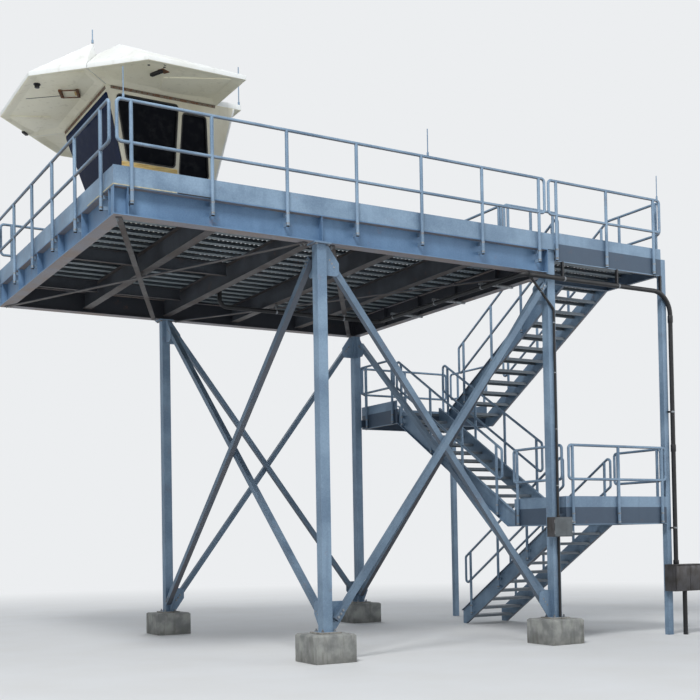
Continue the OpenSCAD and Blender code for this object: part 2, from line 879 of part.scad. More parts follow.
module flight_treads() {
    for (i = [1:risers - 1]) {
        back = max((i - 1) * going - tread_overlap, 0);
        translate([back, channel_flange, -i * rise - plank_depth]) difference() {
            cube([i * going - back, flight_width, plank_depth]);
            translate([plank_t, -1, -plank_t])
                cube([i * going - back - 2 * plank_t, flight_width + 2, plank_depth]);
        }
    }
}

// One handrail outside a stringer, with its posts against the stringer's web
post_below_nosing = soffit_drop - 60;
bend_clear = 300;
stringer_reach = post_offset + channel_flange - channel_t;
end_post = 155;

function flight_posts(first, last) =
    posts_at(spread(first, last, post_pitch), post_below_nosing, stringer_reach);

module flight_rail(start, end) {
    rail_panel([[start, -start * slope], [end, -end * slope]], flight_posts(start + end_post, end - end_post));
}

// Handrail that begins with a level stretch along the landing above
module landing_and_flight_rail(level_length, end) {
    rail_panel([[-level_length, 0], [0, 0], [end, -end * slope]],
               concat(posts_at(spread(landing_post - level_length, -bend_clear, post_pitch), landing_foot,
                               post_offset),
                      flight_posts(end_post, end - end_post)));
}

// Sets its children outside the second stringer
module other_side() {
    translate([0, flight_outer, 0]) mirror([0, 1, 0]) children();
}

// Places a flight that descends towards +Y (way = 1) or -Y (way = -1)
module flight_at(x, y, z, way) {
    translate([x, y, z]) mirror([0, way > 0 ? 0 : 1, 0]) mirror([1, 0, 0]) rotate(90) children();
}

module upper_flight() { flight_at(outer_x, landing_depth, deck_height, 1) children(); }
module middle_flight() { flight_at(inner_x, far_landing_y, middle_level, -1) children(); }
module lower_flight() { flight_at(outer_x, landing_depth, lower_level, 1) children(); }

landing_end = run + landing_shift;
landing_low = landing_bottom - risers * rise;
ground_end = run + 60;
rail_start = 60;
rail_stop = run - 60;

module upper_flight_stringers() {
    color(steel) place() upper_flight() flight_stringers(landing_end, landing_low);
}

module upper_flight_treads() {
    color(steel) place() upper_flight() flight_treads();
}

module upper_flight_handrails() {
    color(steel) place() upper_flight() {
        translate([0, -post_offset, 0]) flight_rail(rail_start, rail_stop);
        other_side() translate([0, -post_offset, 0])
            landing_and_flight_rail(landing_depth - end_setback, rail_stop);
    }
}

module middle_flight_stringers() {
    color(steel) place() middle_flight() flight_stringers(landing_end, landing_low);
}

module middle_flight_treads() {
    color(steel) place() middle_flight() flight_treads();
}

module middle_flight_handrails() {
    color(steel) place() middle_flight() {
        translate([0, -post_offset, 0]) flight_rail(rail_start, rail_stop + 260);
        other_side() translate([0, -post_offset, 0]) flight_rail(rail_start, rail_stop);
    }
}

module lower_flight_stringers() {
    color(steel) place() lower_flight() flight_stringers(ground_end, -lower_level);
}

module lower_flight_treads() {
    color(steel) place() lower_flight() flight_treads();
}

module lower_flight_handrails() {
    color(steel) place() lower_flight() {
        translate([0, -post_offset, 0]) flight_rail(rail_start, rail_stop - 100);
        other_side() translate([0, -post_offset, 0]) flight_rail(rail_start, rail_stop - 100);
    }
}

// Cab. Its walls stand upright up to the waist and lean out above it.
// Plan corner at height z, set in by inset from the outer faces. end is 0 at
// the end wall and 1 at the wing walls' free edges, side is -1 near and 1 far.
function cab_corner(end, side, z, inset) =
    let (up = max(z - waist_z, 0))
    [end == 0 ? cab_base_x - end_lean * up + inset : cab_end_x + edge_lean * up,
     cab_y + side * (cab_base_half + side_lean * up - inset)];

// Near wall between two levels, from one inset to another
module side_shell(z0, z1, outer, inner) {
    outline = function(z) [cab_corner(0, -1, z, outer), cab_corner(1, -1, z, outer),
                           cab_corner(1, -1, z, inner), cab_corner(0, -1, z, inner)];
    loft(outline(z0), z0, outline(z1), z1);
}

module end_shell(z0, z1, outer, inner) {
    outline = function(z) [cab_corner(0, -1, z, outer), cab_corner(0, -1, z, inner),
                           cab_corner(0, 1, z, inner), cab_corner(0, 1, z, outer)];
    loft(outline(z0), z0, outline(z1), z1);
}

// Carries the near side's children over to the far side
module across() {
    translate([0, platform_width, 0]) mirror([0, 1, 0]) children();
}

cab_floor_z = deck_height + cab_floor_t;
window_z = [deck_height + window_low, deck_height + window_low + window_height];
pane_inset = cab_wall - glass_t - 12;
front_window = [cab_base_x - end_lean * (window_z[0] - waist_z) + corner_post, cab_x + mullion_x];
rear_window = [front_window[1] + mullion, cab_end_x - rear_window_margin];
rear_window_drop = 95;
window_slant = edge_lean * window_height;

// Rounded opening through four corners, in the plan's XY plane
module rounded_opening(corners) {
    hull() for (p = corners) translate(p) circle(r = window_r);
}

module front_window_shape() {
    left = front_window[0] + window_r;
    right = front_window[1] - window_r;
    rounded_opening([[left, window_z[0] + window_r], [right, window_z[0] + window_r],
                     [right, window_z[1] - window_r], [left - window_slant, window_z[1] - window_r]]);
}

module rear_window_shape() {
    left = rear_window[0] + window_r;
    right = rear_window[1] - window_r;
    low = window_z[0] - rear_window_drop + window_r;
    high = window_z[1] - rear_window_drop - window_r;
    rounded_opening([[left, low], [right, low], [right - window_slant / 2, high], [left, high]]);
}

// Prism along Y through the near wall
module through_near_wall() {
    translate([0, cab_y - cab_half + cab_half / 2, 0]) rotate([90, 0, 0])
        linear_extrude(cab_half) children();
}

module end_window_prism() {
    low_half = cab_base_half + side_lean * (window_z[0] - waist_z) - end_window_margin - window_r;
    high_half = low_half + side_lean * window_height;
    translate([cab_x - cab_wall, cab_y, 0]) rotate([90, 0, 90])
        linear_extrude(end_lean * lean_height + 3 * cab_wall)
            rounded_opening([[-low_half, window_z[0] + window_r], [low_half, window_z[0] + window_r],
                             [high_half, window_z[1] - window_r], [-high_half, window_z[1] - window_r]]);
}

module near_wall() {
    difference() {
        union() {
            side_shell(cab_floor_z, waist_z, 0, cab_wall);
            side_shell(waist_z, head_z, 0, cab_wall);
        }
        through_near_wall() {
            front_window_shape();
            rear_window_shape();
        }
    }
}

module cab_floor() {
    color(shell) place() block([cab_base_x, cab_y - cab_base_half, deck_height],
                               [cab_end_x, cab_y + cab_base_half, cab_floor_z]);
}

module cab_near_wall() {
    color(shell) place() near_wall();
}

module cab_far_wall() {
    color(shell) place() across() near_wall();
}

module cab_end_wall() {
    color(shell) place() difference() {
        union() {
            end_shell(cab_floor_z, waist_z, 0, cab_wall);
            end_shell(waist_z, head_z, 0, cab_wall);
        }
        end_window_prism();
    }
}

// Upright wall behind the wing walls, with the doorway
module cab_door_wall() {
    low_half = cab_base_half - cab_wall;
    high_half = cab_half - cab_wall;
    x = [cab_end_x - cab_wall, cab_end_x];
    color(shell) place() difference() {
        union() {
            block([x[0], cab_y - low_half, cab_floor_z], [x[1], cab_y + low_half, waist_z]);
            loft(rectangle([x[0], cab_y - low_half], [x[1], cab_y + low_half]), waist_z,
                 rectangle([x[0], cab_y - high_half], [x[1], cab_y + high_half]), head_z);
        }
        block([x[0] - 1, cab_y - door_width / 2, cab_floor_z - 1],
              [x[1] + 1, cab_y + door_width / 2, cab_floor_z + door_height]);
    }
}

// Door leaf with a lever handle
door_recess = 10;
handle_at = [70, 1000];
handle_stem = 50;
handle_length = 120;
handle_d = 20;
module cab_door() {
    face = cab_end_x - door_recess;
    handle = [face, cab_y - door_width / 2 + handle_at[0], cab_floor_z + handle_at[1]];
    stem = handle + [handle_stem, 0, 0];
    color(white) place() {
        block([face - door_t, cab_y - door_width / 2, cab_floor_z],
              [face, cab_y + door_width / 2, cab_floor_z + door_height]);
        bar(handle - [1, 0, 0], stem, handle_d);
        bar(stem - [0, handle_d / 2, 0], stem + [0, handle_length, 0], handle_d);
    }
}

module near_panes() {
    intersection() {
        side_shell(waist_z - cab_wall, head_z, pane_inset, pane_inset + glass_t);
        through_near_wall() front_window_shape();
    }
    intersection() {
        side_shell(waist_z, head_z, pane_inset, pane_inset + glass_t);
        through_near_wall() rear_window_shape();
    }
}

module cab_windows() {
    color(glass) place() {
        near_panes();
        across() near_panes();
        intersection() {
            end_shell(waist_z, head_z, pane_inset, pane_inset + glass_t);
            end_window_prism();
        }
    }
}

// Roof: a slab over walls and wings with a low hipped crown inside a flat rim
roof_rim = 60;
module cab_roof() {
    low = [cab_x, cab_y - cab_half];
    high = [wing_end_x + roof_lip, cab_y + cab_half];
    crown = 0.35 * cab_half;
    color(white) place() {
        block([low.x, low.y, head_z], [high.x, high.y, head_z + roof_t]);
        loft(rectangle(low + [roof_rim, roof_rim], high - [roof_rim, roof_rim]), head_z + roof_t,
             rectangle(low + [crown, crown], high - [crown, crown]), head_z + roof_t + roof_rise);
    }
}

// Window shutters, shown raised: hollow hoods with a flat underside. They
// meet on mitres that run from the cab's corners to the points at mitre_reach.
cab_corner_point = [cab_x, cab_y - cab_half];
mitre_point = cab_corner_point - [mitre_reach, mitre_reach];
mitre_shift = shutter_gap / sqrt(2);
end_crest_offset = 230;
end_crest_lead = 110;
side_crest_lead = 125;
valley_drop = 190;
crest_fall = 95;
crest_w = 8;

// Convex solid over a flat outline, up to a lip and to raised crest points,
// with a shallow tray in its underside
module hood(outline, crests) {
    difference() {
        hull() {
            translate([0, 0, head_z]) linear_extrude(shutter_lip) polygon(outline);
            for (p = crests) translate([p.x, p.y, head_z + p.z]) cube(crest_w, center = true);
        }
        tray(outline);
    }
}

module tray(outline) {
    inset = soffit_rim + soffit_slope;
    hull() {
        translate([0, 0, head_z - 1]) linear_extrude(1) offset(delta = -soffit_rim) polygon(outline);
        translate([0, 0, head_z]) linear_extrude(soffit_depth) offset(delta = -inset) polygon(outline);
    }
}

// Point on the mitre at a share of its length, moved off it by shift
function mitre_at(share, shift) =
    cab_corner_point + share * (mitre_point - cab_corner_point) + shift;

module side_shutter() {
    outer_y = cab_corner_point.y - side_shutter_reach;
    right = cab_end_x - 60;
    shift = [mitre_shift, 0];
    valley = mitre_at(0.5, shift + [crest_w, 0]);
    crest_y = cab_corner_point.y - crest_offset;
    outline = [cab_corner_point + shift, mitre_at(1, shift),
               [mitre_point.x + mitre_shift + mitre_point.y - outer_y, outer_y], [right, outer_y],
               [right, cab_corner_point.y]];
    hood(outline, [[valley.x, valley.y, crest_height - valley_drop],
                   [cab_x + side_crest_lead, crest_y, crest_height],
                   [right - crest_w / 2, crest_y, crest_height - crest_fall]]);
}

module near_shutter() {
    color(white) place() side_shutter();
}

module far_shutter() {
    color(white) place() across() side_shutter();
}

module end_shutter() {
    outer_x = cab_corner_point.x - end_shutter_reach;
    shift = [0, mitre_shift];
    valley = mitre_at(0.5, shift + [0, crest_w]);
    near_half = [cab_corner_point + shift, mitre_at(1, shift),
                 [outer_x, mitre_point.y + mitre_shift + mitre_point.x - outer_x]];
    far_half = [for (i = [2:-1:0]) [near_half[i].x, platform_width - near_half[i].y]];
    crests = [[valley.x, valley.y, crest_height - valley_drop],
              [cab_x - end_crest_offset, cab_corner_point.y - end_crest_lead, crest_height]];
    far_crests = [for (p = crests) [p.x, platform_width - p.y, p.z]];
    color(white) place() hood(concat(near_half, far_half), concat(crests, far_crests));
}

// Lightning rods on a short socket
module rod(x, y, z, length) {
    translate([x, y, z]) {
        cylinder(d = rod_d, h = length);
        cylinder(d = 2 * rod_d, h = 3 * rod_d);
    }
}

module lightning_rods() {
    rail_top = deck_height + rail_height;
    short_rod = rod_length / 2;
    color(steel) place() {
        rod(end_setback + 90, -post_offset, rail_top, rod_length);
        rod(0.67 * platform_length, -post_offset, rail_top, rod_length);
        rod(stair_edge - 2 * end_setback, -post_offset, rail_top, rod_length);
        rod(cab_x - end_crest_offset, cab_y - cab_half - end_crest_lead,
            head_z + crest_height + crest_w / 2, short_rod);
        rod(wing_end_x + roof_lip - roof_rim / 2, cab_y - cab_half + roof_rim / 2, head_z + roof_t,
            1.5 * rod_length);
    }
}

// Cable conduits: a large one under the stair's top landing and down the near
// stair post, and a small one down the column at the stair
conduit_y = -conduit_d / 2;
conduit_z = girder_bottom - conduit_d;
conduit_x = stair_edge + stair_post_size + conduit_d / 2 + 15;
conduit_start = platform_length - 460;
hanger_top = deck_height + landing_bottom;
small_x = platform_edge - 50;
small_y = girder_line - (column_size + small_conduit_d) / 2;
box_low = [small_x - 215, small_y - 155, 1690];
box_high = [small_x + 155, girder_line - column_size / 2, 2000];
clip = 30;

module conduits() {
    color(black) place() {
        translate([0, conduit_y, 0]) rotate([90, 0, 0])
            tube_run([[conduit_start, conduit_z], [conduit_x, conduit_z], [conduit_x, cabinet_top]],
                     conduit_d, conduit_bend);
        for (x = [inner_x, outer_x, stair_edge - 2 * clip])
            block([x, conduit_y, conduit_z], [x + clip, channel_t, hanger_top]);
        for (z = [cabinet_top + 600, 0.6 * frame_top])
            block([stair_edge + stair_post_size - clip, conduit_y - clip / 2, z],
                  [conduit_x, 0, z + clip]);
        translate([0, small_y, 0]) rotate([90, 0, 0])
            tube_run([[conduit_start, conduit_z], [small_x, conduit_z - 500], [small_x, box_high.z]],
                     small_conduit_d, 2 * small_conduit_d);
        translate([small_x, small_y, gusset_foot]) cylinder(d = small_conduit_d,
                                                            h = box_low.z - gusset_foot);
        translate([cabinet_x + cabinet_width / 2, -cabinet_depth / 2, 0])
            cylinder(d = conduit_d, h = cabinet_top - cabinet_height);
    }
}

module electrical_boxes() {
    color(stainless) place() {
        block(box_low, box_high);
        block([cabinet_x, -cabinet_depth, cabinet_top - cabinet_height],
              [cabinet_x + cabinet_width, 0, cabinet_top]);
    }
}

plinths();
main_columns();
stair_posts();
long_side_braces();
short_side_braces();
brace_gussets();
long_girders();
end_girders();
floor_beams();
deck_bracing();
deck_planks();
toe_boards();
near_guard_rail();
far_guard_rail();
cab_end_guard_rail();
stair_end_guard_rail();
top_landing();
top_landing_rails();
middle_landing();
middle_landing_rails();
lower_landing();
lower_landing_rails();
landing_planks();
upper_flight_stringers();
upper_flight_treads();
upper_flight_handrails();
middle_flight_stringers();
middle_flight_treads();
middle_flight_handrails();
lower_flight_stringers();
lower_flight_treads();
lower_flight_handrails();
cab_floor();
cab_near_wall();
cab_far_wall();
cab_end_wall();
cab_door_wall();
cab_door();
cab_windows();
cab_roof();
near_shutter();
far_shutter();
end_shutter();
lightning_rods();
conduits();
electrical_boxes();
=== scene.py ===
"""Looks of the galvanised lookout tower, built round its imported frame.

Every length is in metres in the frame's own axes: X runs along the platform
from the cab to the stair, Y runs away from the front side and Z is up.
"""

import json
import logging
import math
from collections.abc import Callable, Iterable, Iterator
from contextlib import contextmanager
from dataclasses import dataclass
from enum import Enum
from functools import cache
from typing import Any

import bpy
from mathutils import Matrix, Vector

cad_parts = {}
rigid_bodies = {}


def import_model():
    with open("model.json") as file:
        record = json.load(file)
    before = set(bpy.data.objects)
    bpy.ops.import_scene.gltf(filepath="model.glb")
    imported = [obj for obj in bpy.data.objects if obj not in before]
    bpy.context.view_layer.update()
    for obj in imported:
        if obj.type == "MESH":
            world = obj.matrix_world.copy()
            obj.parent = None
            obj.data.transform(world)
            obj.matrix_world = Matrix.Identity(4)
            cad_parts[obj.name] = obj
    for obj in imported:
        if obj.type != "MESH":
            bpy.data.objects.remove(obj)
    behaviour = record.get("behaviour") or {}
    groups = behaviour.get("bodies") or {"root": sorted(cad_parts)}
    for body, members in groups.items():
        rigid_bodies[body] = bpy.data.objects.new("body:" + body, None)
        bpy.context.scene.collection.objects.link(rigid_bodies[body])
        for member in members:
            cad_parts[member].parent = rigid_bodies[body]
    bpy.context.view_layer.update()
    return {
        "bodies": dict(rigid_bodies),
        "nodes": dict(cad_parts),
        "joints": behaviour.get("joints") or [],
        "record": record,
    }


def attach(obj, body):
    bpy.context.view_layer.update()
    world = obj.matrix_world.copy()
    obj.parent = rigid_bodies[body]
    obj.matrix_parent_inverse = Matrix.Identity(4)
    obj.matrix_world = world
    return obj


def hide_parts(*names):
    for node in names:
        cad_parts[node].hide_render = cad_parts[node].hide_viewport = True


LOG = logging.getLogger("tower")
BODY = "root"
Spot = tuple[float, float]
Point = tuple[float, float, float]
Colour = tuple[float, float, float]
Place = Vector | Point
Box = tuple[Vector, Vector]
Piece = bpy.types.Object
Seat = tuple[Vector, Vector]
Test = Callable[[Any], bool]
# Both ends of a strip, its width, its depth and its rounding.
Run = tuple[Point, Point, float, float, float]
UP = Vector((0.0, 0.0, 1.0))
CORNERS = ((-1, -1), (-1, 1), (1, -1), (1, 1))
# Places that are nearer than this are one.
HAIR = 0.001
# A face looks along an axis when more of its normal than this is along it.
SQUARE = 0.9


# Shader values


class Value:
    """An output socket of a graph, with arithmetic that adds Math nodes."""

    def __init__(self, graph: "Graph", socket: bpy.types.NodeSocket) -> None:
        """Wrap an output socket of a graph."""
        self.graph = graph
        self.socket = socket

    def _math(self, operation: str, *terms: "Value | float") -> "Value":
        """Output of a Math node with its terms in order."""
        inputs = dict(enumerate(terms))
        return self.graph.node("ShaderNodeMath", {"operation": operation}, inputs)

    def __add__(self, other: "Value | float") -> "Value":
        """Sum of two values."""
        return self._math("ADD", self, other)

    def __radd__(self, other: float) -> "Value":
        """Sum with a number on the left."""
        return self._math("ADD", other, self)

    def __sub__(self, other: "Value | float") -> "Value":
        """Difference of two values."""
        return self._math("SUBTRACT", self, other)

    def __rsub__(self, other: float) -> "Value":
        """A number less this value."""
        return self._math("SUBTRACT", other, self)

    def __mul__(self, other: "Value | float") -> "Value":
        """Product of two values."""
        return self._math("MULTIPLY", self, other)

    def __rmul__(self, other: float) -> "Value":
        """Product with a number on the left."""
        return self._math("MULTIPLY", other, self)

    def clamped(self) -> "Value":
        """This value held between 0 and 1."""
        return self._math("MINIMUM", self._math("MAXIMUM", self, 0.0), 1.0)

    def between(self, low: float, high: float) -> "Value":
        """Rise smoothly from 0 at one level to 1 at another.

        Args:
            low: Level at which the result is 0.
            high: Level at which the result is 1.

        Returns:
            The smooth step, which falls where high is the lower one.
        """
        settings = {"interpolation_type": "SMOOTHSTEP"}
        lower, upper = min(low, high), max(low, high)
        step = self.graph.node("ShaderNodeMapRange", settings, {0: self, 1: lower, 2: upper})
        return step if high > low else 1.0 - step


class Graph:
    """The nodes of one material, or of the world."""

    def __init__(self, owner: bpy.types.Material | bpy.types.World) -> None:
        """Switch on the nodes of a material or of the world.

        Args:
            owner: The material or the world.
        """
        owner.use_nodes = True
        self.owner = owner
        self.tree = owner.node_tree

    @property
    def shader(self) -> bpy.types.Node:
        """The Principled shader that a new material has."""
        return self.tree.nodes["Principled BSDF"]

    def feed(self, socket: bpy.types.NodeSocket, given: Any) -> None:
        """Link a value to an input, or set the input.

        Args:
            socket: The input.
            given: A value, a number, a vector or a plain colour.
        """
        if isinstance(given, Value):
            self.tree.links.new(given.socket, socket)
        else:
            socket.default_value = (*given, 1.0) if socket.type == "RGBA" else given

    def node(
        self, kind: str, settings: dict[str, Any], inputs: dict[int | str, Any], output: int | str | None = 0
    ) -> Value | None:
        """Add a node of any type.

        Args:
            kind: The node's type.
            settings: Attributes that are set before its inputs.
            inputs: What its sockets are fed, by place or name.
            output: The output socket that is wanted, or None.

        Returns:
            That output, or None.
        """
        made = self.tree.nodes.new(kind)
        for key, setting in settings.items():
            setattr(made, key, setting)
        for key, given in inputs.items():
            self.feed(made.inputs[key], given)
        return None if output is None else Value(self, made.outputs[output])

    def place(self, stretch: Point = (1.0, 1.0, 1.0)) -> Value:
        """Object coordinates, scaled along each axis."""
        coordinates = self.node("ShaderNodeTexCoord", {}, {}, "Object")
        return self.node("ShaderNodeMapping", {}, {"Vector": coordinates, "Scale": stretch})

    def along(self, axis: str) -> Value:
        """Object coordinate along X, Y or Z, in metres."""
        return self.node("ShaderNodeSeparateXYZ", {}, {0: self.place()}, axis)

    def facing_up(self) -> Value:
        """1 where a face looks straight up and -1 where it looks down."""
        normal = self.node("ShaderNodeNewGeometry", {}, {}, "Normal")
        return self.node("ShaderNodeSeparateXYZ", {}, {0: normal}, "Z")

    def within(self, middle: Spot, half: Spot) -> Value:
        """1 inside a box seen from above and 0 outside it.

        Args:
            middle: The box's middle.
            half: Half its length and width.

        Returns:
            The factor.
        """
        factor = 1.0
        for axis, centre, reach in zip("XY", middle, half):
            off = self.along(axis) - centre
            factor = (reach**2 - off * off).between(-0.01, 0.02) * factor
        return factor

    def noise(self, scale: float, detail: float, stretch: Point = (1.0, 1.0, 1.0)) -> Value:
        """Fractal noise between about 0.3 and 0.7, with its scale in blotches per metre."""
        inputs = {"Vector": self.place(stretch), "Scale": scale, "Detail": detail}
        return self.node("ShaderNodeTexNoise", {}, inputs)

    def cells(self, scale: float, output: str) -> Value:
        """A Voronoi pattern's distance or colour, for pits, dots and crystals."""
        inputs = {"Vector": self.place(), "Scale": scale}
        return self.node("ShaderNodeTexVoronoi", {}, inputs, output)

    def spangle(self, scale: float) -> Value:
        """A random grey for each crystal of a zinc coat."""
        return self.node("ShaderNodeSeparateColor", {}, {0: self.cells(scale, "Color")})

    def blend(self, factor: Value | float, first: Any, second: Any) -> Value:
        """Mix two colours, with the first at 0 and the second at 1."""
        inputs = {0: factor, 6: first, 7: second}
        return self.node("ShaderNodeMix", {"data_type": "RGBA"}, inputs, 2)

    def bump(self, height: Value, distance: float, strength: float) -> Value:
        """Normal of a relief, with the depth in metres that a height of 1 has."""
        inputs = {"Height": height, "Distance": distance, "Strength": strength}
        return self.node("ShaderNodeBump", {}, inputs)

    def dress(self, **sockets: Any) -> bpy.types.Material:
        """Feed the Principled shader.

        Args:
            sockets: What it is fed, by socket name with _ for a space.

        Returns:
            The finished material.
        """
        for key, given in sockets.items():
            self.feed(self.shader.inputs[key.replace("_", " ")], given)
        return self.owner


def srgb(*levels: int) -> Colour:
    """Turn a colour written in 0 to 255 into linear light."""
    shares = [level / 255 for level in levels]
    return tuple(s / 12.92 if s <= 0.04045 else ((s + 0.055) / 1.055) ** 2.4 for s in shares)


# Finishes


@dataclass(frozen=True)
class Galvanised:
    """Hot dip galvanised steel that has weathered to a matt blue grey."""

    name: str = "galvanised_steel"
    light: Colour = srgb(144, 168, 190)
    dark: Colour = srgb(96, 120, 144)
    # Colour that undersides go towards: partly dirt, partly painted shade.
    grime_and_shade: Colour = srgb(104, 96, 92)
    # Colour of the painted shade on inner faces and in bands.
    shade_paint_colour: Colour = srgb(44, 42, 44)
    rust: Colour = srgb(128, 82, 52)
    under_dirt_and_shade: float = 0.55
    # Strength of the painted shade on faces inside the platform's plan box.
    inner_shade_paint: float = 0.0
    rust_amount: float = 0.25
    metallic: float = 0.2
    web_middle: Spot = (-1.2122, 0.010)
    web_half: Spot = (3.5452, 3.040)
    bands: tuple[Spot, ...] = ()
    band_edge: float = 0.006
    # Strength of the painted shade in the bands.
    band_shade_paint: float = 0.75

    def material(self) -> bpy.types.Material:
        """Blotches, spangle, run marks, undersides darkened by dirt and painted shade, painted shade inside
        the platform and in bands, and a little rust.

        Returns:
            The material.
        """
        graph = Graph(bpy.data.materials.new(self.name))
        blotches = graph.noise(1.7, 5.0).between(0.36, 0.66)
        runs = graph.noise(9.0, 3.0, (1.0, 1.0, 0.07)).between(0.50, 0.72)
        spangle = graph.spangle(70.0)
        shade = (blotches * 0.62 + spangle * 0.26 + graph.noise(30.0, 2.0) * 0.2).clamped()
        colour = graph.blend(runs * 0.30, graph.blend(shade, self.dark, self.light), self.dark)
        # Undersides darken: partly dirt, partly painted shade.
        under = graph.facing_up().between(-0.3, -0.9)
        colour = graph.blend(under * (self.under_dirt_and_shade + 0.3 * blotches), colour, self.grime_and_shade)
        # Painted shade on faces inside the platform's plan box, such as the girders' inner faces.
        if self.inner_shade_paint:
            inner = graph.within(self.web_middle, self.web_half) * (1.0 - under)
            colour = graph.blend(inner * self.inner_shade_paint, colour, self.shade_paint_colour)
        # Painted shade in level bands, under the toe boards' overhang.
        for low, high in self.bands:
            height, edge = graph.along("Z"), self.band_edge
            band = height.between(low - edge, low + edge) * height.between(high + edge, high - edge)
            colour = graph.blend(band * self.band_shade_paint, colour, self.shade_paint_colour)
        spots = graph.noise(4.2, 6.0).between(0.61, 0.72) * graph.noise(40.0, 3.0).between(0.42, 0.62)
        relief = graph.noise(120.0, 2.0) * 0.6 + spangle * 0.4
        return graph.dress(
            Base_Color=graph.blend(spots * self.rust_amount, colour, self.rust),
            Roughness=0.46 + 0.16 * blotches + 0.12 * spangle - 0.05 * runs,
            Metallic=self.metallic * (1.0 - under * 0.4) * (1.0 - spots * 0.5),
            Normal=graph.bump(relief, 0.0006, 0.5),
        )


@dataclass(frozen=True)
class Concrete:
    """Rough cast concrete, darker near the ground."""

    name: str = "plinth_concrete"
    light: Colour = srgb(170, 171, 166)
    dark: Colour = srgb(130, 132, 130)
    stain: Colour = srgb(98, 96, 90)

    def material(self) -> bpy.types.Material:
        """Cloudy cement with pits, sand grain and a damp foot.

        Returns:
            The material.
        """
        graph = Graph(bpy.data.materials.new(self.name))
        clouds = graph.noise(5.0, 6.0).between(0.34, 0.68)
        pits = graph.cells(55.0, "Distance").between(0.16, 0.05)
        runs = graph.noise(14.0, 3.0, (1.0, 1.0, 0.15)).between(0.52, 0.70)
        damp = (runs * 0.35 + graph.along("Z").between(0.22, 0.0) * 0.4).clamped()
        colour = graph.blend(damp, graph.blend(clouds, self.dark, self.light), self.stain)
        relief = clouds * 0.5 + graph.noise(260.0, 2.0) * 0.25 - pits * 0.6
        return graph.dress(
            Base_Color=graph.blend(pits * 0.5, colour, self.stain),
            Roughness=0.88,
            Normal=graph.bump(relief, 0.004, 0.8),
        )


@dataclass(frozen=True)
class Moulded:
    """Gel coated moulding with chalky patches, drips and dirt specks."""

    name: str
    base: Colour
    aged: Colour
    dirt_amount: float
    dirt: Colour = srgb(112, 100, 82)
    gloss: float = 0.42

    def material(self) -> bpy.types.Material:
        """Broad yellowing, vertical drips and fine pitting.

        Returns:
            The material.
        """
        graph = Graph(bpy.data.materials.new(self.name))
        broad = graph.noise(1.3, 4.0).between(0.36, 0.68)
        drips = graph.noise(11.0, 4.0, (1.0, 1.0, 0.09)).between(0.55, 0.75)
        dots = graph.cells(34.0, "Distance").between(0.13, 0.04)
        specks = dots * graph.noise(3.0, 3.0).between(0.48, 0.66)
        under = graph.facing_up().between(-0.2, -0.9)
        colour = graph.blend(broad * 0.8, self.base, self.aged)
        colour = graph.blend((drips * self.dirt_amount * 0.45).clamped(), colour, self.dirt)
        colour = graph.blend(under * 0.42, colour, self.aged)
        relief = graph.noise(18.0, 3.0) * 0.6 + graph.noise(220.0, 2.0) * 0.15
        return graph.dress(
            Base_Color=graph.blend(specks * self.dirt_amount, colour, self.dirt),
            Roughness=self.gloss + 0.15 * broad + 0.2 * drips,
            Normal=graph.bump(relief, 0.002, 0.4),
        )


@dataclass(frozen=True)
class TintedGlass:
    """Dark tinted glass with faint dust."""

    name: str = "tinted_glass"
    tint: Colour = srgb(10, 13, 20)
    dust: Colour = srgb(110, 112, 110)
    gloss: float = 0.05

    def material(self) -> bpy.types.Material:
        """A glossy near black pane with faint dust.

        Returns:
            The material.
        """
        graph = Graph(bpy.data.materials.new(self.name))
        dust = graph.noise(7.0, 5.0).between(0.46, 0.74)
        smears = graph.noise(3.0, 2.0, (1.0, 1.0, 0.3)).between(0.40, 0.70)
        return graph.dress(
            Base_Color=graph.blend(dust * 0.06, self.tint, self.dust),
            Roughness=0.05 + 0.10 * dust + 0.05 * smears,
            IOR=1.45,
            Specular_IOR_Level=self.gloss,
        )


@dataclass(frozen=True)
class Satin:
    """A plain worn finish, for conduit, rubber, hardware and painted boxes."""

    name: str
    base: Colour
    worn: Colour
    roughness: float
    metallic: float = 0.0
    grain: float = 24.0
    relief: float = 0.0008

    def material(self) -> bpy.types.Material:
        """Two tones in blotches and runs, with a fine relief.

        Returns:
            The material.
        """
        graph = Graph(bpy.data.materials.new(self.name))
        blotches = graph.noise(self.grain * 0.25, 5.0).between(0.38, 0.68)
        runs = graph.noise(self.grain, 3.0, (1.0, 1.0, 0.12)).between(0.50, 0.74)
        wear = (blotches * 0.7 + runs * 0.5).clamped()
        return graph.dress(
            Base_Color=graph.blend(wear, self.base, self.worn),
            Roughness=self.roughness + 0.18 * wear,
            Metallic=self.metallic,
            Normal=graph.bump(graph.noise(self.grain * 9, 2.0), self.relief, 0.5),
        )


@dataclass(frozen=True)
class Timber:
    """Weathered softwood with its grain along X or Y."""

    name: str = "timber_strip"
    light: Colour = srgb(224, 200, 138)
    dark: Colour = srgb(190, 156, 92)
    grey: Colour = srgb(176, 166, 142)

    def material(self) -> bpy.types.Material:
        """Long grain of darker wood and greyed patches.

        Returns:
            The material.
        """
        graph = Graph(bpy.data.materials.new(self.name))
        grain = graph.noise(6.0, 6.0, (1.0, 1.0, 14.0)).between(0.36, 0.66)
        grey = graph.noise(2.6, 4.0).between(0.45, 0.65)
        colour = graph.blend(grain, self.dark, self.light)
        return graph.dress(
            Base_Color=graph.blend(grey * 0.35, colour, self.grey),
            Roughness=0.72,
            Normal=graph.bump(grain, 0.0012, 0.6),
        )


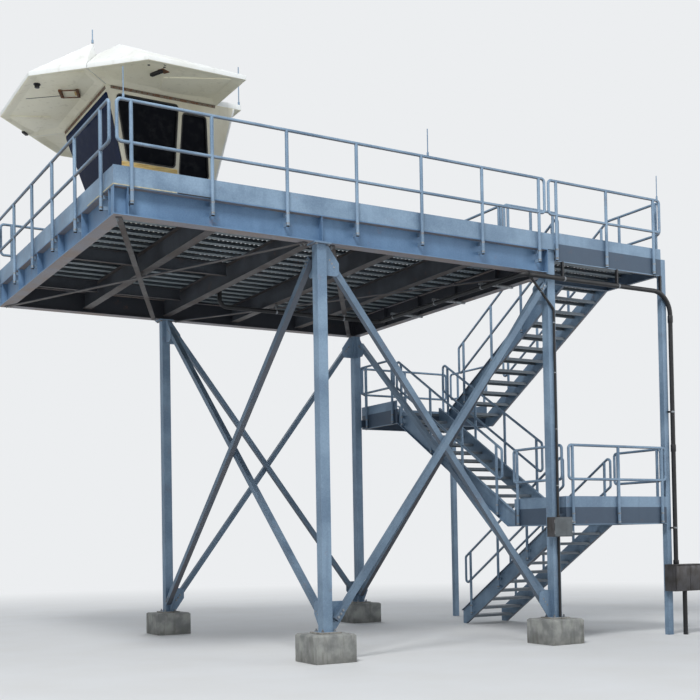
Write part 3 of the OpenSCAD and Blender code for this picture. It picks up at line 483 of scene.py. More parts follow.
class Finish(Enum):
    """The finishes of the tower, by the surface that they are on."""

    STEEL = Galvanised()
    # Girders: a darker tone that paints the shade on their webs, painted shade on their inner faces, and dirt
    # with painted shade on their undersides.
    GIRDER = Galvanised(
        "girder_steel_painted_shade",
        srgb(112, 144, 176),
        srgb(80, 110, 142),
        srgb(136, 124, 118),
        under_dirt_and_shade=0.7,
        inner_shade_paint=0.94,
    )
    # Landing channels: painted shade in bands on the webs under the toe boards.
    LANDING = Galvanised(
        "landing_steel_painted_shade",
        shade_paint_colour=srgb(38, 50, 68),
        bands=((1.888, 2.160), (3.994, 4.266), (6.100, 6.372)),
    )
    # Braces: a darker copy of the galvanised steel that paints their shade.
    BRACE = Galvanised(
        "brace_steel_painted_shade", srgb(124, 146, 166), srgb(84, 104, 124), srgb(92, 84, 82), under_dirt_and_shade=0.6
    )
    # Floor beams and level bracing: dark tones that paint the shade under the deck.
    BEAM = Galvanised(
        "beam_steel_painted_shade", srgb(84, 90, 98), srgb(54, 56, 62), srgb(66, 58, 54), under_dirt_and_shade=0.7
    )
    # Planks: their undersides go near black, painted shade under the deck.
    PLANK = Galvanised(
        "galvanised_planks_painted_shade",
        srgb(132, 142, 150),
        srgb(92, 102, 112),
        srgb(46, 46, 48),
        under_dirt_and_shade=0.8,
        rust_amount=0.5,
    )
    # Lip bottoms of the planks: a lighter copy of the plank steel that paints light bounced up from below.
    LIP = Galvanised(
        "plank_lips_painted_light",
        srgb(176, 188, 192),
        srgb(134, 146, 152),
        srgb(104, 110, 112),
        under_dirt_and_shade=0.3,
        rust_amount=0.3,
    )
    CONCRETE = Concrete()
    SHELL = Moulded("cab_shell", srgb(212, 208, 190), srgb(192, 184, 158), 0.35)
    SHUTTER = Moulded("shutter_shell", srgb(230, 233, 232), srgb(216, 217, 210), 0.3)
    # Hood undersides: beige, made paler than the tops to paint the light bounced up onto them.
    SOFFIT = Moulded("shutter_soffit_painted_light", srgb(249, 245, 224), srgb(232, 225, 198), 0.55)
    BOARD = Moulded("white_board", srgb(228, 230, 228), srgb(208, 206, 196), 0.3)
    GLASS = TintedGlass()
    NAVY_GLASS = TintedGlass("navy_glass", srgb(14, 32, 64), gloss=0.02)
    CONDUIT = Satin("black_conduit", srgb(12, 13, 16), srgb(30, 31, 35), 0.42)
    RUBBER = Satin("window_rubber", srgb(26, 26, 27), srgb(58, 57, 54), 0.62)
    STAINLESS = Satin("weathered_stainless", srgb(80, 79, 81), srgb(58, 54, 50), 0.40, 0.5)
    HARDWARE = Satin("rusty_hardware", srgb(98, 78, 60), srgb(132, 78, 44), 0.7, 0.3, 60.0)
    BOLT = Satin("zinc_bolts", srgb(150, 156, 162), srgb(112, 108, 104), 0.42, 0.7, 90.0)
    HINGE = Satin("hinge_metal", srgb(124, 116, 104), srgb(122, 82, 54), 0.6, 0.3, 50.0)
    GROUT = Satin("grout", srgb(168, 166, 160), srgb(128, 124, 116), 0.85, 0.0, 30.0, 0.0015)
    MORTAR = Satin("mortar_bedding", srgb(192, 186, 158), srgb(146, 148, 142), 0.85, 0.0, 40.0, 0.0015)
    BOX = Satin("painted_box", srgb(97, 104, 108), srgb(78, 82, 84), 0.5, 0.0, 18.0)
    TIMBER = Timber()


@cache
def material_of(finish: Finish) -> bpy.types.Material:
    """A finish's material, which is made once."""
    return finish.value.material()


# Modelling


def deselect() -> None:
    """Clear the selection, which every operator acts on."""
    bpy.ops.object.select_all(action="DESELECT")


def pick(*pieces: Piece) -> None:
    """Select only some objects, with the first one active.

    Args:
        pieces: The objects.
    """
    deselect()
    for piece in pieces:
        piece.select_set(True)
    bpy.context.view_layer.objects.active = pieces[0]


class Part(Enum):
    """What is selected in edit mode, by its list in a mesh."""

    POINT = "vertices"
    EDGE = "edges"
    FACE = "polygons"


@contextmanager
def editing(piece: Piece, part: Part = Part.FACE, test: Test = lambda each: True) -> Iterator[None]:
    """Hold a piece in edit mode with part of it selected.

    Args:
        piece: The piece.
        part: Whether vertices, edges or faces are selected.
        test: Which of them are selected.
    """
    pick(piece)
    for kind in Part:
        parts = getattr(piece.data, kind.value)
        parts.foreach_set("select", [kind is part and test(each) for each in parts])
    bpy.context.tool_settings.mesh_select_mode = [kind is part for kind in Part]
    bpy.ops.object.mode_set(mode="EDIT")
    yield
    bpy.ops.object.mode_set(mode="OBJECT")


def looks_up(face: bpy.types.MeshPolygon) -> bool:
    """Whether a face is a level top."""
    return face.normal.z > SQUARE


def raise_faces(piece: Piece, test: Test, margin: float, step: Place) -> Piece:
    """Inset the faces that pass a test and move what is inside.

    Args:
        piece: The piece.
        test: Which faces are raised.
        margin: Width of the sloping rim.
        step: How far the inner face moves.

    Returns:
        The piece.
    """
    with editing(piece, Part.FACE, test):
        bpy.ops.mesh.inset(thickness=margin)
        bpy.ops.transform.translate(value=step)
    return piece


def settle(piece: Piece) -> Piece:
    """Move a piece's place, turn and scale into its mesh.

    Args:
        piece: The piece.

    Returns:
        The piece.
    """
    pick(piece)
    bpy.ops.object.transform_apply(location=True, rotation=True, scale=True)
    return piece


def modify(piece: Piece, kind: str, **settings: Any) -> Piece:
    """Add a modifier to a piece and apply it.

    Args:
        piece: The piece.
        kind: The modifier's type.
        settings: Its settings.

    Returns:
        The piece.
    """
    pick(piece)
    modifier = piece.modifiers.new(kind.lower(), kind)
    for key, setting in settings.items():
        setattr(modifier, key, setting)
    bpy.ops.object.modifier_apply(modifier=modifier.name)
    return piece


def round_edges(piece: Piece, width: float, segments: int, degrees: float) -> Piece:
    """Round all edges of a piece that are sharper than an angle."""
    limit = {"limit_method": "ANGLE", "angle_limit": math.radians(degrees)}
    return modify(piece, "BEVEL", width=width, segments=segments, **limit)


def add(name: str, operator: Callable[..., Any], **settings: Any) -> Piece:
    """Add a primitive while nothing else is selected.

    Args:
        name: The piece's name.
        operator: The operator that adds it.
        settings: The operator's settings.

    Returns:
        The piece.
    """
    deselect()
    operator(**settings)
    piece = bpy.context.object
    piece.name = name
    return piece


def block(name: str, low: Place, high: Place, bevel: float = 0.0) -> Piece:
    """Add a box between two corners and round its edges.

    Args:
        name: The piece's name.
        low: Lowest corner.
        high: Highest corner.
        bevel: Width of the rounding, or 0 for none.

    Returns:
        The box, settled.
    """
    low, high = Vector(low), Vector(high)
    piece = add(name, bpy.ops.mesh.primitive_cube_add, size=1.0, location=(low + high) / 2)
    piece.scale = high - low
    settle(piece)
    if bevel:
        with editing(piece, Part.EDGE):
            bpy.ops.mesh.bevel(offset=bevel, segments=2, affect="EDGES")
    return piece


def rod(name: str, start: Place, end: Place, radius: float, sides: int = 12) -> Piece:
    """Add a cylinder between two points.

    Args:
        name: The piece's name.
        start: Middle of one end.
        end: Middle of the other end.
        radius: Its radius.
        sides: Number of sides.

    Returns:
        The cylinder, settled.
    """
    start, end = Vector(start), Vector(end)
    way = end - start
    size = {"vertices": sides, "radius": radius, "depth": way.length}
    piece = add(name, bpy.ops.mesh.primitive_cylinder_add, location=(start + end) / 2, **size)
    piece.rotation_mode = "QUATERNION"
    piece.rotation_quaternion = way.to_track_quat("Z", "Y")
    return settle(piece)


def pin(name: str, middle: Place, axis: int, length: float, radius: float, sides: int = 12) -> Piece:
    """Add a cylinder along X, Y or Z.

    Args:
        name: The piece's name.
        middle: Its middle.
        axis: 0 for X, 1 for Y and 2 for Z.
        length: Its length.
        radius: Its radius.
        sides: Number of sides.

    Returns:
        The cylinder, settled.
    """
    reach = Vector((0.0, 0.0, 0.0))
    reach[axis] = length / 2
    return rod(name, Vector(middle) - reach, Vector(middle) + reach, radius, sides)


def strip(name: str, start: Place, end: Place, width: float, depth: float, bevel: float = 0.002) -> Piece:
    """Add a bevelled bar between two points at one height.

    Args:
        name: The piece's name.
        start: Middle of one end.
        end: Middle of the other end.
        width: Level width across the bar.
        depth: Its height.
        bevel: Width of the rounding.

    Returns:
        The bar, settled.
    """
    start, end = Vector(start), Vector(end)
    way = end - start
    half = Vector((way.length, width, depth)) / 2
    bar = block(name, -half, half, bevel)
    turn = way.to_track_quat("X", "Z").to_matrix().to_4x4()
    bar.data.transform(Matrix.Translation((start + end) / 2) @ turn)
    return bar


def quad(name: str, corners: Iterable[Place]) -> Piece:
    """Add a face with four corners.

    Args:
        name: The piece's name.
        corners: Its corners, anticlockwise as seen from outside.

    Returns:
        The face.
    """
    piece = add(name, bpy.ops.mesh.primitive_plane_add, size=1.0)
    for index, corner in zip((0, 1, 3, 2), corners):
        piece.data.vertices[index].co = corner
    return piece


def pipe(name: str, points: Iterable[Place], radius: float, bend: float) -> Piece:
    """Sweep a round tube through points, with elbows at the inner ones.

    Args:
        name: The piece's name.
        points: Ends and corners of its middle line.
        radius: Its radius.
        bend: Radius of the elbows.

    Returns:
        The tube, closed at both ends.
    """
    points = [Vector(point) for point in points]
    at = points[0]
    turn = (points[1] - at).to_track_quat("Z", "Y").to_euler()
    ring = {"vertices": 20, "radius": radius, "location": at, "rotation": turn}
    piece = settle(add(name, bpy.ops.mesh.primitive_circle_add, **ring))
    with editing(piece, Part.POINT):
        for before, corner, after in zip(points, points[1:], points[2:]):
            way, out = (corner - before).normalized(), (after - corner).normalized()
            reach = bend * math.tan(way.angle(out) / 2)
            stop = corner - way * reach
            bpy.ops.mesh.extrude_region_move(TRANSFORM_OT_translate={"value": stop - at})
            axis = way.cross(out).normalized()
            centre = stop + axis.cross(way) * bend
            bpy.ops.mesh.spin(steps=8, angle=-way.angle(out), center=centre, axis=axis)
            at = corner + out * reach
        bpy.ops.mesh.extrude_region_move(TRANSFORM_OT_translate={"value": points[-1] - at})
        bpy.ops.mesh.select_all(action="SELECT")
        bpy.ops.mesh.remove_doubles(threshold=0.0001)
        bpy.ops.mesh.fill_holes(sides=0)
        bpy.ops.mesh.normals_make_consistent(inside=False)
    return piece


def copies_at(pattern: Piece, matrices: Iterable[Matrix]) -> list[Piece]:
    """Copy a pattern to many places, each copy with its own mesh, and remove it.

    Args:
        pattern: The pattern, settled.
        matrices: What carries each copy to its place.

    Returns:
        The copies, settled.
    """
    twins = []
    for matrix in matrices:
        twins.append(pattern.copy())
        twins[-1].data = pattern.data.copy()
        twins[-1].data.transform(matrix)
        bpy.context.scene.collection.objects.link(twins[-1])
    bpy.data.objects.remove(pattern)
    return twins


def standing(seat: Vector, way: Vector) -> Matrix:
    """Carry what stands on the origin to a seat, pointing another way."""
    return Matrix.Translation(seat) @ way.to_track_quat("Z", "Y").to_matrix().to_4x4()


def join(name: str, pieces: list[Piece]) -> Piece:
    """Join pieces into one object.

    Args:
        name: The object's name.
        pieces: The pieces.

    Returns:
        The object.
    """
    pick(*pieces)
    if len(pieces) > 1:
        bpy.ops.object.join()
    joined = bpy.context.object
    joined.name = name
    joined.data.name = name
    return joined


def merged_copy(node: str) -> Piece:
    """Copy a frame node's mesh, with its loose triangles joined into faces.

    Args:
        node: The frame node.

    Returns:
        The copy, with flat faces where the node has them.
    """
    piece = bpy.data.objects.new("copy", bpy.data.objects[node].data.copy())
    bpy.context.scene.collection.objects.link(piece)
    piece.data.materials.clear()
    with editing(piece, Part.POINT):
        bpy.ops.mesh.customdata_custom_splitnormals_clear()
        bpy.ops.mesh.remove_doubles(threshold=0.00005)
        bpy.ops.mesh.dissolve_limited(angle_limit=math.radians(0.5))
    return piece


def solids_of(node: str) -> list[Box]:
    """Boxes of a node's separate solids.

    Args:
        node: The frame node.

    Returns:
        The lowest and highest corner of each solid, sorted by place.
    """
    mesh = bpy.data.objects[node].data
    keys = [tuple(round(axis, 5) for axis in point.co) for point in mesh.vertices]
    parent = {key: key for key in keys}

    def root(key: Point) -> Point:
        """Find the point that stands for a solid.

        Args:
            key: Any point of the solid.

        Returns:
            The point that stands for it.
        """
        while parent[key] != key:
            parent[key] = parent[parent[key]]
            key = parent[key]
        return key

    for face in mesh.polygons:
        first = root(keys[face.vertices[0]])
        for corner in face.vertices[1:]:
            parent[root(keys[corner])] = first
    groups: dict[Point, list[Point]] = {}
    for key in parent:
        groups.setdefault(root(key), []).append(key)
    boxes = [(Vector(map(min, *points)), Vector(map(max, *points))) for points in groups.values()]
    return sorted(boxes, key=lambda box: tuple(round(axis, 3) for axis in box[0]))


# The tower's pieces


class Assembly:
    """A part of the tower that makes its own pieces."""

    @staticmethod
    def fit(
        name: str,
        pieces: list[Piece],
        finish: Finish,
        slot: str,
        degrees: float = 0.0,
        replaces: Iterable[str] = (),
    ) -> None:
        """Join loose pieces, dress them and fix them to the frame.

        Args:
            name: Name of the joined piece.
            pieces: The loose pieces.
            finish: Its finish, unless it has materials already.
            slot: The record's material slot, which is not used.
            degrees: Angle up to which its edges are shaded smooth, or 0.
            replaces: Frame nodes that it stands for.
        """
        piece = join(name, pieces)
        if degrees:
            bpy.ops.object.shade_smooth_by_angle(angle=math.radians(degrees))
        if not piece.data.materials:
            piece.data.materials.append(material_of(finish))
        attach(piece, BODY)
        if replaces:
            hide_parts(*replaces)
        LOG.info("%s: %d faces", piece.name, len(piece.data.polygons))

    @staticmethod
    def two_tone(piece: Piece, first: Finish, second: Finish, test: Test) -> Piece:
        """Dress a piece in two finishes.

        Args:
            piece: The piece.
            first: The finish of most faces.
            second: The finish of the rest.
            test: Which faces have the second finish.

        Returns:
            The piece.
        """
        for finish in (first, second):
            piece.data.materials.append(material_of(finish))
        for face in piece.data.polygons:
            face.material_index = int(test(face))
        return piece


@dataclass
class Decking(Assembly):
    """Perforated planks of the platform, the landings and the flights."""

    pitch: float = 0.075
    rows: int = 3
    hole: float = 0.021
    sheet: float = 0.004
    lip: float = 0.048
    hole_area: float = 2.5

    def build(self) -> None:
        """Lay holed planks where the frame has plain ones."""
        self.lay("deck_planks", "platform_planks")
        self.lay("landing_planks", "landing_treadplates")
        for flight in ("upper", "middle", "lower"):
            self.lay(f"{flight}_flight_treads", f"{flight}_holed_treads")

    def plank(self, length: float, width: float, depth: float) -> Piece:
        """Punch a sheet and fold its long edges down and in.

        Args:
            length: Length along X.
            width: Width along Y.
            depth: Depth of the folded edges.

        Returns:
            The plank, with its top at the origin.
        """
        cells = {"x_subdivisions": round(length / self.pitch), "y_subdivisions": self.rows + 1}
        sheet = add("plank", bpy.ops.mesh.primitive_grid_add, size=1.0, **cells)
        sheet.scale = (length, width, 1.0)
        settle(sheet)
        end, side = length / 2 - HAIR, width / 2 - HAIR
        with editing(sheet, Part.POINT, lambda at: abs(at.co.x) < end and abs(at.co.y) < side):
            bpy.ops.mesh.bevel(offset=self.hole, affect="VERTICES")
        with editing(sheet, Part.FACE, lambda face: face.area < self.hole_area * self.hole**2):
            bpy.ops.mesh.delete(type="FACE")
        for way in (-1, 1):
            with editing(sheet, Part.POINT, lambda at: at.co.y * way > side and at.co.z > -HAIR):
                for step in (UP * (self.sheet / 2 - depth), Vector((0.0, -way * self.lip, 0.0))):
                    bpy.ops.mesh.extrude_edges_move(TRANSFORM_OT_translate={"value": step})
        with editing(sheet):
            bpy.ops.mesh.normals_make_consistent(inside=False)
        tops = [face for face in sheet.data.polygons if face.center.z > -HAIR]
        if sum(face.normal.z * face.area for face in tops) < 0:
            sheet.data.flip_normals()
        modify(sheet, "SOLIDIFY", thickness=self.sheet, offset=-1.0)
        bottom = 2 * self.sheet - depth
        # The lips' bottoms take the lighter finish, which paints light bounced up from below.
        return self.two_tone(
            sheet, Finish.PLANK, Finish.LIP, lambda face: face.normal.z < -SQUARE and face.center.z < bottom
        )

    def lay(self, node: str, name: str) -> None:
        """Put a holed plank in the place of each of a node's solids.

        Args:
            node: The frame node that the planks stand for.
            name: Name of the joined piece.
        """
        sizes: dict[Spot, Point] = {}
        places: dict[Spot, list[Matrix]] = {}
        for low, high in solids_of(node):
            x, y, depth = high - low
            length, width = max(x, y), min(x, y)
            key = (round(length, 3), round(width, 3))
            sizes.setdefault(key, (length, width, depth))
            spot = Matrix.Translation(((low.x + high.x) / 2, (low.y + high.y) / 2, high.z))
            turn = Matrix.Rotation(math.pi / 2 if y > x else 0.0, 4, "Z")
            places.setdefault(key, []).append(spot @ turn)
        planks = [copy for key, size in sizes.items() for copy in copies_at(self.plank(*size), places[key])]
        self.fit(name, planks, Finish.PLANK, "galvanised_steel", replaces=(node,))


@dataclass
class Footings(Assembly):
    """Cast plinths with rounded edges and worn faces, and the grout on them."""

    edge: float = 0.018
    cuts: int = 9
    wear: float = 0.008
    lump: float = 0.11
    grout: float = 0.016
    grout_root: float = 0.010
    grout_half: float = 0.165
    grout_chamfer: Spot = (0.012, 0.004)

    def build(self) -> None:
        """Make the plinths and the grout under the base plates."""
        self.plinths()
        self.grout_beds()

    def plinths(self) -> None:
        """Round and wear the frame's plinths."""
        cast = merged_copy("plinths")
        with editing(cast):
            bpy.ops.mesh.subdivide(number_cuts=self.cuts)
        round_edges(cast, self.edge, 3, 40.0)
        lumps = bpy.data.textures.new("cast_lumps", "CLOUDS")
        lumps.noise_scale = self.lump
        modify(cast, "DISPLACE", texture=lumps, strength=self.wear, mid_level=1.0)
        self.fit("cast_plinths", [cast], Finish.CONCRETE, "concrete", 50.0, ("plinths",))

    def grout_beds(self) -> None:
        """Bed each base plate in a low chamfered pad of grout."""
        beds = []
        for low, high in solids_of("plinths"):
            middle = Vector(((low.x + high.x) / 2, (low.y + high.y) / 2, high.z))
            reach = Vector((self.grout_half, self.grout_half, 0.0))
            bed = block("grout", middle - reach - UP * self.grout_root, middle + reach + UP * self.grout)
            beds.append(raise_faces(bed, looks_up, self.grout_chamfer[0], UP * self.grout_chamfer[1]))
        self.fit("grout_beds", beds, Finish.GROUT, "concrete")


@dataclass
class Bolting(Assembly):
    """Hexagon bolts, nuts and washers of the frame."""

    washer: Spot = (1.25, 0.20)
    shank: Spot = (0.15, 0.95)
    chamfer: Spot = (0.12, 0.08)
    thread_share: float = 0.52
    large: float = 0.020
    medium: float = 0.016
    slight: float = 0.013
    foot_top: float = 0.41
    head_limit: float = 6.0
    plate: float = 0.022
    plate_grip: float = 0.097
    brace_half: float = 0.045
    gusset_half: float = 0.006
    brace_places: tuple[float, ...] = (0.045, 0.105, 0.165)
    level_places: tuple[float, ...] = (0.07, 0.14)
    level_thread: float = 0.012
    splice_face: float = 4.742
    splice_places: tuple[Spot, ...] = ((-1.83, 6.20), (1.791, 4.09), (-1.83, 1.99))
    splice_half: Spot = (0.11, 0.07)
    splice_grip: Spot = (0.075, 0.04)
    splice_plate: float = 0.010

    def build(self) -> None:
        """Bolt the feet, the braces, the level bracing and the stringers."""
        self.anchors()
        self.braces()
        self.level_bracing()
        self.splices()

    def set_out(self, name: str, radius: float, seats: list[Seat], thread: float = 0.0) -> None:
        """Model a bolt once and copy it to all its seats.

        Args:
            name: Name of the joined piece.
            radius: Radius of the hexagon over its corners.
            seats: Each bolt's seat and the way that it points.
            thread: Length of thread beyond the hexagon.
        """
        (wide, thick), (foot, top), (rim, crown) = self.washer, self.shank, self.chamfer
        washer = rod("washer", (0, 0, 0), UP * thick * radius, wide * radius)
        hexagon = rod("hexagon", UP * foot * radius, UP * top * radius, radius, 6)
        parts = [washer, raise_faces(hexagon, looks_up, rim * radius, UP * crown * radius)]
        if thread:
            end = UP * (top * radius + thread)
            parts.append(rod("thread", UP * top * radius, end, self.thread_share * radius, 8))
        bolts = copies_at(join("bolt", parts), [standing(seat, way) for seat, way in seats])
        self.fit(name, bolts, Finish.BOLT, "galvanised_steel")

    def anchors(self) -> None:
        """Anchor bolts on the base plates and bolts under the head plates."""
        feet, heads = [], []
        for low, high in solids_of("main_columns"):
            if low.z >= self.foot_top:
                continue
            for x, y in CORNERS:
                spot = (low + high) / 2 + self.plate_grip * Vector((x, y, 0.0))
                feet.append((Vector((spot.x, spot.y, low.z + self.plate)), UP))
                if high.z < self.head_limit:
                    heads.append((Vector((spot.x, spot.y, high.z - self.plate)), -UP))
        self.set_out("anchor_bolts", self.large, feet, self.plate)
        self.set_out("head_plate_bolts", self.large, heads)

    def braces(self) -> None:
        """Three bolts through each end of each brace, with nuts behind the gusset."""
        seats: list[Seat] = []
        back = self.brace_half + 2 * self.gusset_half
        for node, axis in (("long_side_braces", 0), ("short_side_braces", 1)):
            for low, high in solids_of(node):
                middle, half = (low + high) / 2, (high - low) / 2
                across = Vector((axis, 1 - axis, 0)) * self.outward(middle, 1 - axis)
                lean = math.atan2(half.z, half[axis])
                reach = UP * (half.z - self.brace_half * math.cos(lean))
                if not self.rises(node, low, high, axis):
                    reach = -reach
                reach[axis] = half[axis] - self.brace_half * math.sin(lean)
                way, span = reach.normalized(), reach.length
                for end in (-1, 1):
                    for place in self.brace_places:
                        spot = middle + way * end * (span - place)
                        seats.append((spot + across * self.brace_half, across))
                        seats.append((spot - across * back, -across))
        self.set_out("brace_bolts", self.medium, seats)

    def outward(self, middle: Vector, axis: int) -> int:
        """Find the side of its gussets on which a brace lies.

        Args:
            middle: The brace's middle.
            axis: The axis across the brace.

        Returns:
            -1 or 1.
        """
        gussets = [low[axis] + self.gusset_half for low, _ in solids_of("brace_gussets")]
        nearest = min(gussets, key=lambda place: abs(place - middle[axis]))
        return 1 if middle[axis] > nearest else -1

    @staticmethod
    def rises(node: str, low: Vector, high: Vector, axis: int) -> bool:
        """Find whether a brace rises along its run.

        Args:
            node: The node that it belongs to.
            low: The brace's lowest corner.
            high: Its highest corner.
            axis: The axis of its run.

        Returns:
            Whether its lower end comes first.
        """
        room = 0.1 * HAIR
        inside = [
            point.co
            for point in bpy.data.objects[node].data.vertices
            if all(low[k] - room < point.co[k] < high[k] + room for k in range(3))
        ]
        return min(inside, key=lambda at: at[axis]).z < (low.z + high.z) / 2

    def level_bracing(self) -> None:
        """Bolts near the ends of the flat bars under the girders."""
        seats = []
        for low, high in solids_of("deck_bracing"):
            half = (high - low) / 2
            for x, y in CORNERS:
                corner = Vector((x * half.x, y * half.y, 0.0))
                for back in self.level_places:
                    spot = (low + high) / 2 + corner - corner.normalized() * back
                    seats.append((Vector((spot.x, spot.y, low.z)), -UP))
        self.set_out("level_bracing_bolts", self.medium, seats, self.level_thread)

    def splices(self) -> None:
        """Plates with four bolts where a stringer meets its landing's side channel."""
        inner, outer = self.splice_face - HAIR, self.splice_face + self.splice_plate
        (wide, tall), (along, up) = self.splice_half, self.splice_grip
        plates, seats = [], []
        for y, z in self.splice_places:
            plates.append(block("splice", (inner, y - wide, z - tall), (outer, y + wide, z + tall), 0.002))
            for column, row in CORNERS:
                seat = Vector((outer, y + along * column, z + up * row))
                seats.append((seat, Vector((1, 0, 0))))
        self.fit("splice_plates", plates, Finish.STEEL, "galvanised_steel")
        self.set_out("splice_bolts", self.slight, seats)


@dataclass
class RailFittings(Assembly):
    """Plugs and bracket clamps of the guard rails' posts."""

    radius: float = 0.025
    plug: float = 0.010
    clamps: Spot = (0.030, 0.170)
    clamp_width: float = 0.024
    clamp_sheet: float = 0.003
    clamp_gap: float = 0.0022
    plug_share: float = 0.96
    flat: float = 0.9999
    disc_area: float = 0.003
    near: float = 0.06
    slack: float = 0.005

    def build(self) -> None:
        """Close each post's foot and clamp it to its bracket."""
        rails = [f"{side}_guard_rail" for side in ("near", "far", "cab_end", "stair_end")]
        rails += [f"{level}_landing_rails" for level in ("top", "middle", "lower")]
        rails += [f"{flight}_flight_handrails" for flight in ("upper", "middle", "lower")]
        feet = [foot for node in rails for foot in self.feet(node)]
        plug = rod("plug", (0, 0, 0.004), (0, 0, -self.plug), self.plug_share * self.radius, 16)
        with editing(plug, Part.FACE, lambda face: face.normal.z < -SQUARE):
            bpy.ops.mesh.bevel(offset=0.005, segments=2)
        plugs = copies_at(plug, [Matrix.Translation(foot) for foot in feet])
        places = [Matrix.Translation(foot + UP * up) for foot in feet for up in self.clamps]
        collars = copies_at(self.collar(), places)
        self.fit("post_plugs", plugs, Finish.RUBBER, "black_conduit", 35.0)
        self.fit("post_collars", collars, Finish.BOLT, "galvanised_steel", 35.0)

    def collar(self) -> Piece:
        """Model a narrow clamp round a post.

        Returns:
            The clamp, with its middle at the origin.
        """
        band = pin("collar", (0, 0, 0), 2, self.clamp_width, self.radius + self.clamp_gap, 16)
        with editing(band, Part.FACE, lambda face: abs(face.normal.z) > SQUARE):
            bpy.ops.mesh.delete(type="FACE")
        return modify(band, "SOLIDIFY", thickness=self.clamp_sheet, offset=-1.0)

    def feet(self, node: str) -> list[Vector]:
        """Find the centres of the flat lower ends of a node's posts.

        Args:
            node: The frame node.

        Returns:
            One point for each post.
        """
        mesh = bpy.data.objects[node].data
        discs: list[list[Vector]] = []
        for face in mesh.polygons:
            points = [mesh.vertices[index].co for index in face.vertices]
            if face.normal.z > -self.flat or face.area > self.disc_area:
                continue
            for disc in discs:
                level = abs(disc[0].z - points[0].z) < 2 * HAIR
                if level and (disc[0] - points[0]).length < self.near:
                    disc.extend(points)
                    break
            else:
                discs.append(points)
        centres: list[Vector] = []
        for disc in discs:
            low, high = Vector(map(min, *disc)), Vector(map(max, *disc))
            middle, size = (low + high) / 2, high - low
            off = max(abs(size.x - 2 * self.radius), abs(size.y - 2 * self.radius))
            if off < self.slack and not self.goes_on(mesh, middle):
                centres.append(middle)
        return centres

    def goes_on(self, mesh: bpy.types.Mesh, middle: Vector) -> bool:
        """Find whether a mesh has points just below a place.

        Args:
            mesh: The mesh.
            middle: The place.

        Returns:
            Whether it goes on below.
        """
        steps = (point.co - middle for point in mesh.vertices)
        return any(
            abs(step.x) < self.near and abs(step.y) < self.near and step.z < -self.slack for step in steps
        )


